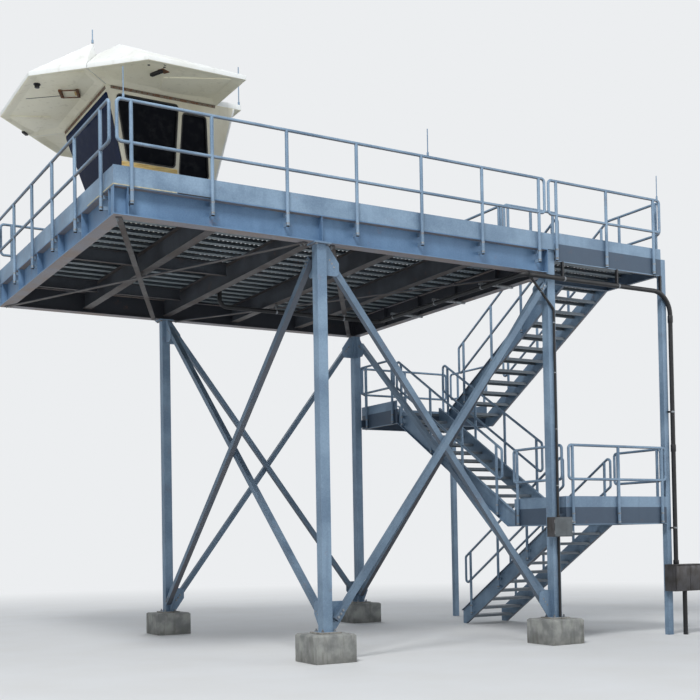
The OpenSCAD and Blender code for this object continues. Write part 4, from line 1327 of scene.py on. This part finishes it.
@dataclass
class Cab(Assembly):
    """The moulded cab: its hoods, window frames, seals, strips and door fittings."""

    wall_x: float = -4.2675
    rear_x: float = -2.4675
    middle: Point = (-3.35, 0.010, 7.86)
    middle_y: float = 0.010
    half: float = 1.100
    base_half: float = 0.880
    head: float = 8.400
    soffit: float = 8.435
    waist: float = 7.300
    floor: float = 6.378
    edge: float = 0.014
    gasket: float = 0.020
    gasket_round: float = 0.004
    reveal: float = 0.044
    under: float = 0.35
    least_pane: float = 0.25
    pane_foot: float = 0.33
    pane_lean: float = 0.3
    pane_flare: float = 0.2
    pane_margin: float = 0.022
    pane_corner: float = 0.06
    pane: float = 0.006
    pane_reach: Spot = (0.02, 0.075)
    panels: tuple[tuple[Spot, ...], ...] = (
        ((-3.59, -1.64), (-2.71, -2.04), (-2.72, -1.27), (-3.49, -1.18)),
        ((-5.22, 0.86), (-4.62, 0.60), (-4.64, 1.36), (-4.98, 1.12)),
    )
    panel_bed: float = 0.002
    panel_drop: float = 0.014
    panel_slope: float = 0.035
    panel_sag: float = 0.004
    lamp: Spot = (-5.13, -0.55)
    lamp_discs: tuple[Point, ...] = ((0.014, -0.004, 0.050), (0.055, 0.012, 0.036))
    latches: tuple[Run, ...] = (
        ((-3.79, -1.66, 8.415), (-3.70, -1.87, 8.415), 0.055, 0.045, 0.010),
        ((-4.87, 1.33, 8.392), (-4.78, 1.44, 8.392), 0.050, 0.035, 0.006),
    )
    latch_plate: Run = ((-3.73, -1.88, 8.433), (-3.60, -1.80, 8.433), 0.100, 0.008, 0.002)
    pull_plate: Run = ((-4.545, -0.560, 8.421), (-4.505, -0.462, 8.421), 0.070, 0.020, 0.004)
    pull_drop: float = 0.014
    pull_bar: float = 0.008
    pull_foot: Point = (0.045, 0.032, 0.005)
    pull_feet: tuple[tuple[Spot, Spot], ...] = (
        ((-4.787, -0.507), (-4.676, -0.272)),
        ((-4.567, -0.652), (-4.464, -0.404)),
    )
    holes: tuple[Spot, ...] = ((-3.95, -2.06), (-3.92, -1.93), (-3.72, -2.04), (-3.70, -1.96), (-2.72, -2.12))
    hole: Point = (0.003, 0.010, 0.020)
    groove: Run = ((-5.134, 0.068, 8.435), (-4.690, -0.300, 8.435), 0.016, 0.004, 0.0)
    timber: tuple[Run, ...] = (
        ((-3.975, -0.888, 7.346), (-3.105, -0.888, 7.346), 0.026, 0.070, 0.003),
        ((-4.835, -3.119, 6.338), (-3.90, -3.119, 6.338), 0.018, 0.018, 0.003),
        ((-4.8465, -3.08, 6.338), (-4.8465, -2.30, 6.338), 0.018, 0.018, 0.003),
    )
    bedding: tuple[Run, ...] = (
        ((-4.855, -3.1315, 6.272), (-4.00, -3.1315, 6.272), 0.010, 0.016, 0.002),
        ((-4.8595, -3.13, 6.272), (-4.8595, -2.05, 6.272), 0.010, 0.016, 0.002),
    )
    # A black rubber strip that paints the shadow under the raised toe board.
    kerb_seal: Run = ((-3.99, -3.131, 6.270), (-3.48, -3.131, 6.270), 0.010, 0.014, 0.002)
    bead: float = 0.019
    bead_inset: float = 0.012
    bead_lean: float = 0.231
    hinge_runs: tuple[tuple[Point, Point, Point], ...] = (
        ((-4.20, -1.084, 8.378), (-2.55, -1.084, 8.378), (0.0, -1.0, 0.0)),
        ((-4.20, 1.104, 8.378), (-2.55, 1.104, 8.378), (0.0, 1.0, 0.0)),
        ((-4.257, -1.03, 8.378), (-4.257, 1.05, 8.378), (-1.0, 0.0, 0.0)),
    )
    hinge_leaf: Spot = (0.018, 0.036)
    hinge_knuckle: float = 0.007
    screw: Spot = (0.010, 0.006)
    screw_pitch: float = 0.085
    door_half: float = 0.38
    door_top: float = 8.258
    door_seal: float = 0.024
    door_hinge: float = 0.22
    kick: Spot = (0.03, 0.28)
    lock: Spot = (7.28, 7.48)

    def build(self) -> None:
        """Make the hoods and roof, then all that is fixed to the cab."""
        for node in ("near_shutter", "far_shutter", "end_shutter", "cab_roof"):
            piece = round_edges(merged_copy(node), self.edge, 3, 14.0)
            self.two_tone(piece, Finish.SHUTTER, Finish.SOFFIT, lambda face: face.normal.z < -self.under)
            self.fit(f"moulded_{node}", [piece], Finish.SHUTTER, "white_shell", 30.0, (node,))
        self.window_frames()
        self.end_glazing()
        self.creases()
        self.hinges()
        self.hood_hardware()
        self.strips()
        self.wing_beads()
        self.door_fittings()

    def window_frames(self) -> None:
        """Line each window opening with a rubber gasket, from the pane to the face."""
        frame = merged_copy("cab_windows")
        with editing(frame, Part.FACE, lambda face: not self.looks_out(face)):
            bpy.ops.mesh.delete(type="FACE")
        with editing(frame):
            bpy.ops.mesh.inset(thickness=self.gasket, use_boundary=True, use_individual=True)
            bpy.ops.mesh.delete(type="FACE")
        modify(frame, "SOLIDIFY", thickness=self.reveal, offset=1.0)
        round_edges(frame, self.gasket_round, 2, 50.0)
        self.fit("window_gaskets", [frame], Finish.RUBBER, "black_conduit", 40.0)

    def looks_out(self, face: bpy.types.MeshPolygon) -> bool:
        """Whether a pane's face is large and looks away from the cab's middle."""
        return face.area > self.least_pane and face.normal.dot(face.center - Vector(self.middle)) > 0.0

    def end_glazing(self) -> None:
        """Bond one tinted sheet over the whole leaning face of the end wall."""
        corners = []
        low, high = self.waist - self.pane_reach[0], self.head - self.pane_reach[1]
        for z, side in ((low, 1), (low, -1), (high, -1), (high, 1)):
            up = max(z - self.waist, 0.0)
            x = self.wall_x + self.pane_foot - self.pane_lean * up - HAIR
            y = self.middle_y + side * (self.base_half + self.pane_flare * up - self.pane_margin)
            corners.append((x, y, z))
        sheet = quad("sheet", corners)
        with editing(sheet, Part.POINT):
            bpy.ops.mesh.bevel(offset=self.pane_corner, segments=6, affect="VERTICES")
        modify(sheet, "SOLIDIFY", thickness=self.pane, offset=1.0)
        self.fit("bonded_end_glazing", [sheet], Finish.NAVY_GLASS, "tinted_glass")

    def creases(self) -> None:
        """Raised panels of the mouldings' undersides."""
        panels = []
        for corners in self.panels:
            mirrored = [(x, 2 * self.middle_y - y) for x, y in reversed(corners)]
            panels += [self.panel(corners), self.panel(mirrored)]
        self.fit("hood_panels", panels, Finish.SOFFIT, "white_shell", 50.0)

    def panel(self, corners: Iterable[Spot]) -> Piece:
        """Model a shallow panel with sloping sides, under a hood.

        Args:
            corners: Its four corners in plan, anticlockwise.

        Returns:
            The panel.
        """
        piece = quad("panel", [(x, y, self.soffit + self.panel_bed) for x, y in corners])
        with editing(piece):
            bpy.ops.mesh.extrude_region_move(TRANSFORM_OT_translate={"value": -UP * self.panel_drop})
            bpy.ops.mesh.inset(thickness=self.panel_slope)
            bpy.ops.transform.translate(value=-UP * self.panel_sag)
            bpy.ops.mesh.select_all(action="SELECT")
            bpy.ops.mesh.normals_make_consistent(inside=False)
        return piece

    def hinges(self) -> None:
        """Long hinges with rusty screws where the hoods meet the walls."""
        leaves, places = [], []
        for start, stop, out in (map(Vector, run) for run in self.hinge_runs):
            leaves.append(strip("leaf", start, stop, *self.hinge_leaf))
            off = out * self.hinge_leaf[0] / 2 + UP * self.hinge_leaf[1] / 2
            leaves.append(rod("knuckle", start + off, stop + off, self.hinge_knuckle, 10))
            count = round((stop - start).length / self.screw_pitch)
            for place in range(count):
                seat = start.lerp(stop, (place + 0.5) / count) + out * (self.hinge_leaf[0] / 2 - HAIR)
                places.append(standing(seat, out))
        radius, height = self.screw
        screw = rod("screw", (0, 0, 0), (0, 0, height), radius, 10)
        with editing(screw, Part.FACE, looks_up):
            bpy.ops.mesh.bevel(offset=height / 2, segments=1)
        self.fit("hood_hinges", leaves, Finish.HINGE, "stainless")
        self.fit("hinge_screws", copies_at(screw, places), Finish.HARDWARE, "stainless", 35.0)

    def hood_hardware(self) -> None:
        """Latches, pull frame and lamp of the hoods, and black rubber that paints the shade in a groove and
        in fixing holes.
        """
        top, level = self.soffit, self.soffit - self.pull_drop
        bar, (below, above, radius) = self.pull_bar, self.hole
        dark = [
            rod("lamp", (*self.lamp, top - low), (*self.lamp, top - high), wide, 20)
            for low, high, wide in self.lamp_discs
        ]
        dark += [strip("latch", *run) for run in self.latches]
        rusty = [strip("foot", (*a, level), (*b, level), *self.pull_foot) for a, b in self.pull_feet]
        for left, right in zip(*self.pull_feet):
            rusty.append(rod("pull", (*left, level - bar), (*right, level - bar), bar, 10))
        rusty.append(strip("plate", *self.latch_plate))
        brass = strip("plate", *self.pull_plate)
        # Black strip and pins: painted shade in the groove and the holes.
        holes = [strip("groove", *self.groove)]
        for x, y in self.holes:
            holes.append(rod("hole", (x, y, top - below), (x, y, top + above), radius, 14))
        self.fit("hood_lamp_and_latch", dark, Finish.CONDUIT, "black_conduit", 40.0)
        self.fit("rusty_pull_frame", rusty, Finish.HARDWARE, "stainless", 40.0)
        self.fit("pull_frame_plate", [brass], Finish.TIMBER, "stainless")
        self.fit("hood_fixing_holes", holes, Finish.RUBBER, "black_conduit")

    def strips(self) -> None:
        """Timber sill under the near window, packing and mortar at the kerb, and a black strip that paints
        the shadow under the kerb.
        """
        for name, runs, finish, slot in (
            ("timber_strips", self.timber, Finish.TIMBER, "cab_shell"),
            ("kerb_bedding", self.bedding, Finish.MORTAR, "concrete"),
            ("kerb_seal", (self.kerb_seal,), Finish.RUBBER, "black_conduit"),
        ):
            self.fit(name, [strip("strip", *run) for run in runs], finish, slot)

    def wing_beads(self) -> None:
        """Pale beads along the free edges of the wing walls, whose pale finish partly paints the edges'
        highlight.
        """
        beads = []
        for side in (-1, 1):
            y = self.middle_y + side * (self.base_half - self.bead_inset)
            waist = (self.rear_x, y, self.waist)
            top = self.middle_y + side * (self.half - self.bead_inset)
            head = (self.rear_x + self.bead_lean, top, self.head)
            beads.append(rod("bead", waist, head, self.bead, 14))
            beads.append(rod("bead", (self.rear_x, y, self.floor), waist, self.bead, 14))
        self.fit("wing_beads", beads, Finish.BOARD, "white_shell", 35.0)

    def door_fittings(self) -> None:
        """Weather seal, hinges, kick plate and lock plate of the door."""
        x, y, half, low, high = self.rear_x, self.middle_y, self.door_half, self.floor, self.door_top
        seal, metal, bead, inset = [], [], self.door_seal, self.door_hinge
        for left, right, foot in (
            (y - half - bead, y - half, low),
            (y + half, y + half + bead, low),
            (y - half, y + half, high),
        ):
            seal.append(block("seal", (x - 0.004, left, foot), (x + 0.012, right, high + bead), 0.004))
        hinge = y + half
        for z in (low + inset, self.waist + 0.02, high - inset):
            metal.append(pin("knuckle", (x + 0.008, hinge, z), 2, 0.10, 0.010))
            leaf = (x - 0.011, hinge - 0.06, z - 0.045), (x - 0.006, hinge, z + 0.045)
            metal.append(block("leaf", *leaf, 0.001))
        foot, top = self.kick
        kick = (x - 0.012, y - half + foot, low + foot), (x - 0.007, y + half - foot, low + top)
        lock = (x - 0.012, y - half + 0.04, self.lock[0]), (x - 0.004, y - half + 0.10, self.lock[1])
        metal += [block("kick", *kick, 0.001), block("lock", *lock, 0.002)]
        self.fit("door_seal", seal, Finish.RUBBER, "black_conduit", 40.0)
        self.fit("door_fittings", metal, Finish.STAINLESS, "stainless", 40.0)


@dataclass
class Services(Assembly):
    """Couplings and straps of the conduits, and the doors of the two boxes."""

    radius: float = 0.038
    bend: float = 0.13
    level: float = 5.812
    riser: Spot = (-1.55, 1.12)
    cross_x: float = 1.72
    near_y: float = -3.168
    leg_x: float = 4.896
    small: float = 0.020
    run_joint: float = 0.25
    run_end: float = 1.862
    sleeve: Spot = (0.10, 0.008)
    flange: Spot = (0.03, 0.02)
    strap: float = 0.03
    hanger: Spot = (0.015, 0.02)
    arm: Spot = (0.06, 2.36)
    branch: Spot = (2.358, -3.125)
    branch_joint: Point = (2.01, 0.04, 0.006)
    under_plank: float = 6.262
    under_beam: float = 5.948
    under_girder: float = 5.888
    beams: Spot = (-0.448, 0.943)
    arms: tuple[float, ...] = (0.60, -0.75, -2.10)
    joints: tuple[Point, ...] = ((5.36, 0.12, 0.007), (1.225, 0.07, 0.010), (3.16, 0.12, 0.007))
    clips: Spot = (1.805, 3.776)
    level_clips: Spot = (2.552, 3.722)
    branch_clips: tuple[float, ...] = (2.5, 3.4, 4.3, 5.1)
    cabinet_box: tuple[Point, Point] = ((4.662, -3.370, 0.740), (5.332, -3.130, 1.190))
    small_box: tuple[Point, Point] = ((2.142, -3.280, 1.690), (2.513, -3.105, 2.000))

    def build(self) -> None:
        """Fit out the conduits and the boxes."""
        self.deck_conduit()
        self.couplings()
        self.cabinet_doors()
        self.box_lid()

    def band(self, middle: Place, axis: int, length: float, radius: float) -> Piece:
        """Model a sleeve with rounded rims round a conduit.

        Args:
            middle: The sleeve's middle.
            axis: 0 for X, 1 for Y and 2 for Z.
            length: Its length.
            radius: Its radius.

        Returns:
            The sleeve.
        """
        sleeve = pin("sleeve", middle, axis, length, radius, 24)
        with editing(sleeve, Part.FACE, lambda face: abs(face.normal[axis]) > SQUARE):
            bpy.ops.mesh.bevel(offset=0.004, segments=2)
        return sleeve

    def deck_conduit(self) -> None:
        """The conduit's run under the deck, from the cab to the near side."""
        x, y, level, cross, near = *self.riser, self.level, self.cross_x, self.near_y
        top, strap, rim = self.under_plank, self.radius + 0.004, self.radius + self.sleeve[1]
        corners = [(x, y, top), (x, y, level), (cross, y, level), (cross, near, level)]
        run = [
            pipe("run", [*corners, (self.run_end, near, level)], self.radius, self.bend),
            self.band((x, y, top - self.flange[0] / 2), 2, self.flange[0], self.radius + self.flange[1]),
            self.band((self.run_end - 2 * HAIR, near, level), 0, self.sleeve[0], rim),
            self.band((self.run_joint, y, level), 0, self.sleeve[0], rim),
        ]
        self.fit("deck_conduit", run, Finish.CONDUIT, "black_conduit", 35.0)
        hangers = []
        (thin, half), (back, reach) = self.hanger, self.arm
        for beam in self.beams:
            drop = (beam - thin, y - half, level), (beam + thin, y + half, self.under_beam)
            hangers += [block("drop", *drop, 0.002), self.band((beam, y, level), 0, self.strap, strap)]
        for side in self.arms:
            low = (cross - back, side - half, level + self.radius)
            arm = block("arm", low, (reach, side + half, self.under_girder), 0.002)
            hangers += [arm, self.band((cross, side, level), 1, self.strap, strap)]
        self.fit("deck_conduit_hangers", hangers, Finish.BOLT, "galvanised_steel", 35.0)

    def couplings(self) -> None:
        """Sleeves at the conduit's joints and steel straps at its clips."""
        x, y, strap = self.leg_x, self.near_y, self.radius + 0.003
        sleeves = [
            self.band((x, y, z), 2, length, self.radius + rim)
            for z, length, rim in self.joints
        ]
        z, length, rim = self.branch_joint
        sleeves.append(self.band((*self.branch, z), 2, length, self.small + rim))
        self.fit("conduit_couplings", sleeves, Finish.CONDUIT, "black_conduit", 35.0)
        straps = [self.band((x, y, z), 2, self.strap, strap) for z in self.clips]
        straps += [self.band((along, y, self.level), 0, self.strap, strap) for along in self.level_clips]
        for z in self.branch_clips:
            straps.append(self.band((*self.branch, z), 2, 0.02, self.small + 0.003))
        self.fit("conduit_straps", straps, Finish.BOLT, "galvanised_steel", 35.0)

    def cabinet_doors(self) -> None:
        """Two doors, a drip edge, hinges and two locks on the large cabinet."""
        low, high = map(Vector, self.cabinet_box)
        front, seam = low.y, (low.x + high.x) / 2
        doors = [
            block("door", (left, front - 0.012, low.z + 0.015), (right, front + HAIR, high.z - 0.025), 0.003)
            for left, right in ((low.x + 0.012, seam - 0.003), (seam + 0.003, high.x - 0.012))
        ]
        edge = (low.x - 0.004, front - 0.020, high.z - 0.014), (high.x + 0.004, front + 0.004, high.z + 0.003)
        doors.append(block("drip", *edge, 0.003))
        for x in (low.x + 0.012, high.x - 0.012):
            for z in (low.z + 0.09, high.z - 0.10):
                doors.append(pin("hinge", (x, front - 0.012, z), 2, 0.05, 0.006))
        for x in (low.x + 0.08, seam + 0.05):
            doors.append(pin("lock", (x, front - 0.014, 0.96), 1, 0.008, 0.014, 16))
        self.fit("cabinet_doors", doors, Finish.STAINLESS, "stainless", 40.0)

    def box_lid(self) -> None:
        """Lid, hinges and catches on the box at the column."""
        low, high = map(Vector, self.small_box)
        front, rim = low.y, 0.006
        corners = (low.x + rim, front - 0.010, low.z + rim), (high.x - rim, front + HAIR, high.z - rim)
        lid = block("lid", *corners, 0.004)
        raise_faces(lid, lambda face: face.normal.y < -SQUARE and face.area > 0.05, 0.018, (0.0, -0.003, 0.0))
        self.fit("box_lid", [lid], Finish.BOX, "stainless", 40.0)
        catches = []
        for z in (low.z + 0.07, high.z - 0.07):
            catch = (high.x - 0.030, front - 0.020, z - 0.018), (high.x + 0.004, front - rim, z + 0.018)
            catches.append(block("catch", *catch, 0.003))
            catches.append(pin("hinge", (low.x + 0.004, front - rim, z), 2, 0.05, rim))
        self.fit("box_catches", catches, Finish.BOLT, "stainless", 40.0)


# Studio


@dataclass
class Studio:
    """Camera, pale floor and soft lamps."""

    eye: Point = (-9.3735, -16.695, 1.714)
    yaw: float = 0.5278
    pitch: float = 0.0245
    roll: float = -0.0173
    focal_px: float = 1111.79
    horizon_px: float = 161.52
    image_px: float = 700.0
    floor_colour: Colour = srgb(226, 226, 224)
    backdrop: Colour = srgb(236, 238, 240)
    daylight: Colour = srgb(226, 234, 244)
    ambient: float = 0.32
    floor_reach: float = 400.0
    fade: Spot = (9.0, 24.0)
    lamps: tuple[tuple[str, Point, float, float], ...] = (
        ("key", (-12.0, -14.0, 23.0), 6.0, 4400.0),
        ("fill", (17.0, -17.0, 9.0), 12.0, 900.0),
        ("back", (7.0, 18.0, 15.0), 12.0, 1100.0),
    )

    def build(self) -> None:
        """Make everything round the tower."""
        self.camera()
        self.floor()
        self.sky()
        for name, place, size, power in self.lamps:
            self.lamp(name, place, size, power)
        bpy.context.scene.view_settings.view_transform = "Standard"

    def camera(self) -> None:
        """Stand the camera where the photograph was taken."""
        ahead = Vector((math.sin(self.yaw), math.cos(self.yaw), 0.0))
        side = Vector((math.cos(self.yaw), -math.sin(self.yaw), 0.0))
        look = ahead * math.cos(self.pitch) + UP * math.sin(self.pitch)
        head = UP * math.cos(self.pitch) - ahead * math.sin(self.pitch)
        right = side * math.cos(self.roll) + head * math.sin(self.roll)
        top = head * math.cos(self.roll) - side * math.sin(self.roll)
        data = bpy.data.cameras.new("photo_camera")
        data.sensor_width = 36.0
        data.lens = self.focal_px / self.image_px * data.sensor_width
        data.shift_y = self.horizon_px / self.image_px
        data.clip_end = 2.0 * self.floor_reach
        camera = bpy.data.objects.new("photo_camera", data)
        bpy.context.scene.collection.objects.link(camera)
        turn = Matrix((right, top, -look)).transposed().to_4x4()
        camera.matrix_world = Matrix.Translation(self.eye) @ turn
        bpy.context.scene.camera = camera

    def floor(self) -> None:
        """Lay a pale floor that fades into the backdrop far from the tower."""
        disc = {"vertices": 96, "radius": self.floor_reach, "fill_type": "NGON"}
        floor = add("studio_floor", bpy.ops.mesh.primitive_circle_add, location=(0.0, 0.0, 0.0), **disc)
        graph = Graph(bpy.data.materials.new("studio_floor"))
        distance = graph.node("ShaderNodeVectorMath", {"operation": "LENGTH"}, {0: graph.place()}, 1)
        glow = graph.node("ShaderNodeEmission", {}, {0: self.backdrop, 1: 1.0})
        mottled = graph.blend(graph.noise(0.8, 3.0), self.floor_colour, self.backdrop)
        floor.data.materials.append(graph.dress(Base_Color=mottled, Roughness=0.9))
        shader = Value(graph, graph.shader.outputs[0])
        inputs = {0: distance.between(*self.fade), 1: shader, 2: glow}
        mixed = graph.node("ShaderNodeMixShader", {}, inputs)
        graph.node("ShaderNodeOutputMaterial", {"is_active_output": True}, {0: mixed}, None)

    def sky(self) -> None:
        """Light softly from all round, with a pale backdrop for what looks at it."""
        graph = Graph(bpy.data.worlds.new("studio_sky"))
        graph.tree.nodes.clear()
        bpy.context.scene.world = graph.owner
        seen = graph.node("ShaderNodeLightPath", {}, {}, "Is Camera Ray")
        for ray in ("Is Glossy Ray", "Is Transmission Ray"):
            seen = (seen + graph.node("ShaderNodeLightPath", {}, {}, ray)).clamped()
        ambient = graph.node("ShaderNodeBackground", {}, {0: self.daylight, 1: self.ambient})
        shown = graph.node("ShaderNodeBackground", {}, {0: self.backdrop, 1: 1.0})
        mixed = graph.node("ShaderNodeMixShader", {}, {0: seen, 1: ambient, 2: shown})
        graph.node("ShaderNodeOutputWorld", {}, {0: mixed}, None)

    @staticmethod
    def lamp(name: str, place: Point, size: float, power: float) -> None:
        """Add a square area lamp that faces the tower.

        Args:
            name: The lamp's name.
            place: Where it stands.
            size: Its side length.
            power: Its power in watts.
        """
        lamp = add(name, bpy.ops.object.light_add, type="AREA", location=place)
        lamp.data.size = size
        lamp.data.energy = power
        aim = Vector((0.0, 0.0, 4.0)) - Vector(place)
        lamp.rotation_mode = "QUATERNION"
        lamp.rotation_quaternion = aim.to_track_quat("-Z", "Y")


NODE_FINISHES: dict[Finish, tuple[str, ...]] = {
    Finish.CONCRETE: ("plinths",),
    Finish.LANDING: ("top_landing", "middle_landing", "lower_landing"),
    Finish.GIRDER: ("long_girders", "end_girders"),
    Finish.BEAM: ("floor_beams", "deck_bracing"),
    Finish.BRACE: ("long_side_braces", "short_side_braces"),
    Finish.PLANK: ("deck_planks", "landing_planks"),
    Finish.SHELL: ("cab_floor", "cab_near_wall", "cab_far_wall", "cab_end_wall", "cab_door_wall"),
    Finish.BOARD: ("cab_door",),
    Finish.GLASS: ("cab_windows",),
    Finish.SHUTTER: ("cab_roof", "near_shutter", "far_shutter", "end_shutter"),
    Finish.CONDUIT: ("conduits",),
    Finish.STAINLESS: ("electrical_boxes",),
}


def dress_nodes(nodes: dict[str, Piece]) -> None:
    """Give every frame node its finish, galvanised steel where none is named.

    Args:
        nodes: The frame's nodes by name.
    """
    named = {name: finish for finish, names in NODE_FINISHES.items() for name in names}
    for name, node in nodes.items():
        node.data.materials.clear()
        node.data.materials.append(material_of(named.get(name, Finish.STEEL)))


def main() -> None:
    """Load the frame, build the tower's looks and light them."""
    logging.basicConfig(level=logging.INFO, format="%(name)s: %(message)s")
    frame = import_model()
    Studio().build()
    dress_nodes(frame["nodes"])
    for assembly in (Decking, Footings, Bolting, RailFittings, Cab, Services):
        LOG.info("building %s", assembly.__name__)
        assembly().build()


if __name__ == "__main__":
    main()
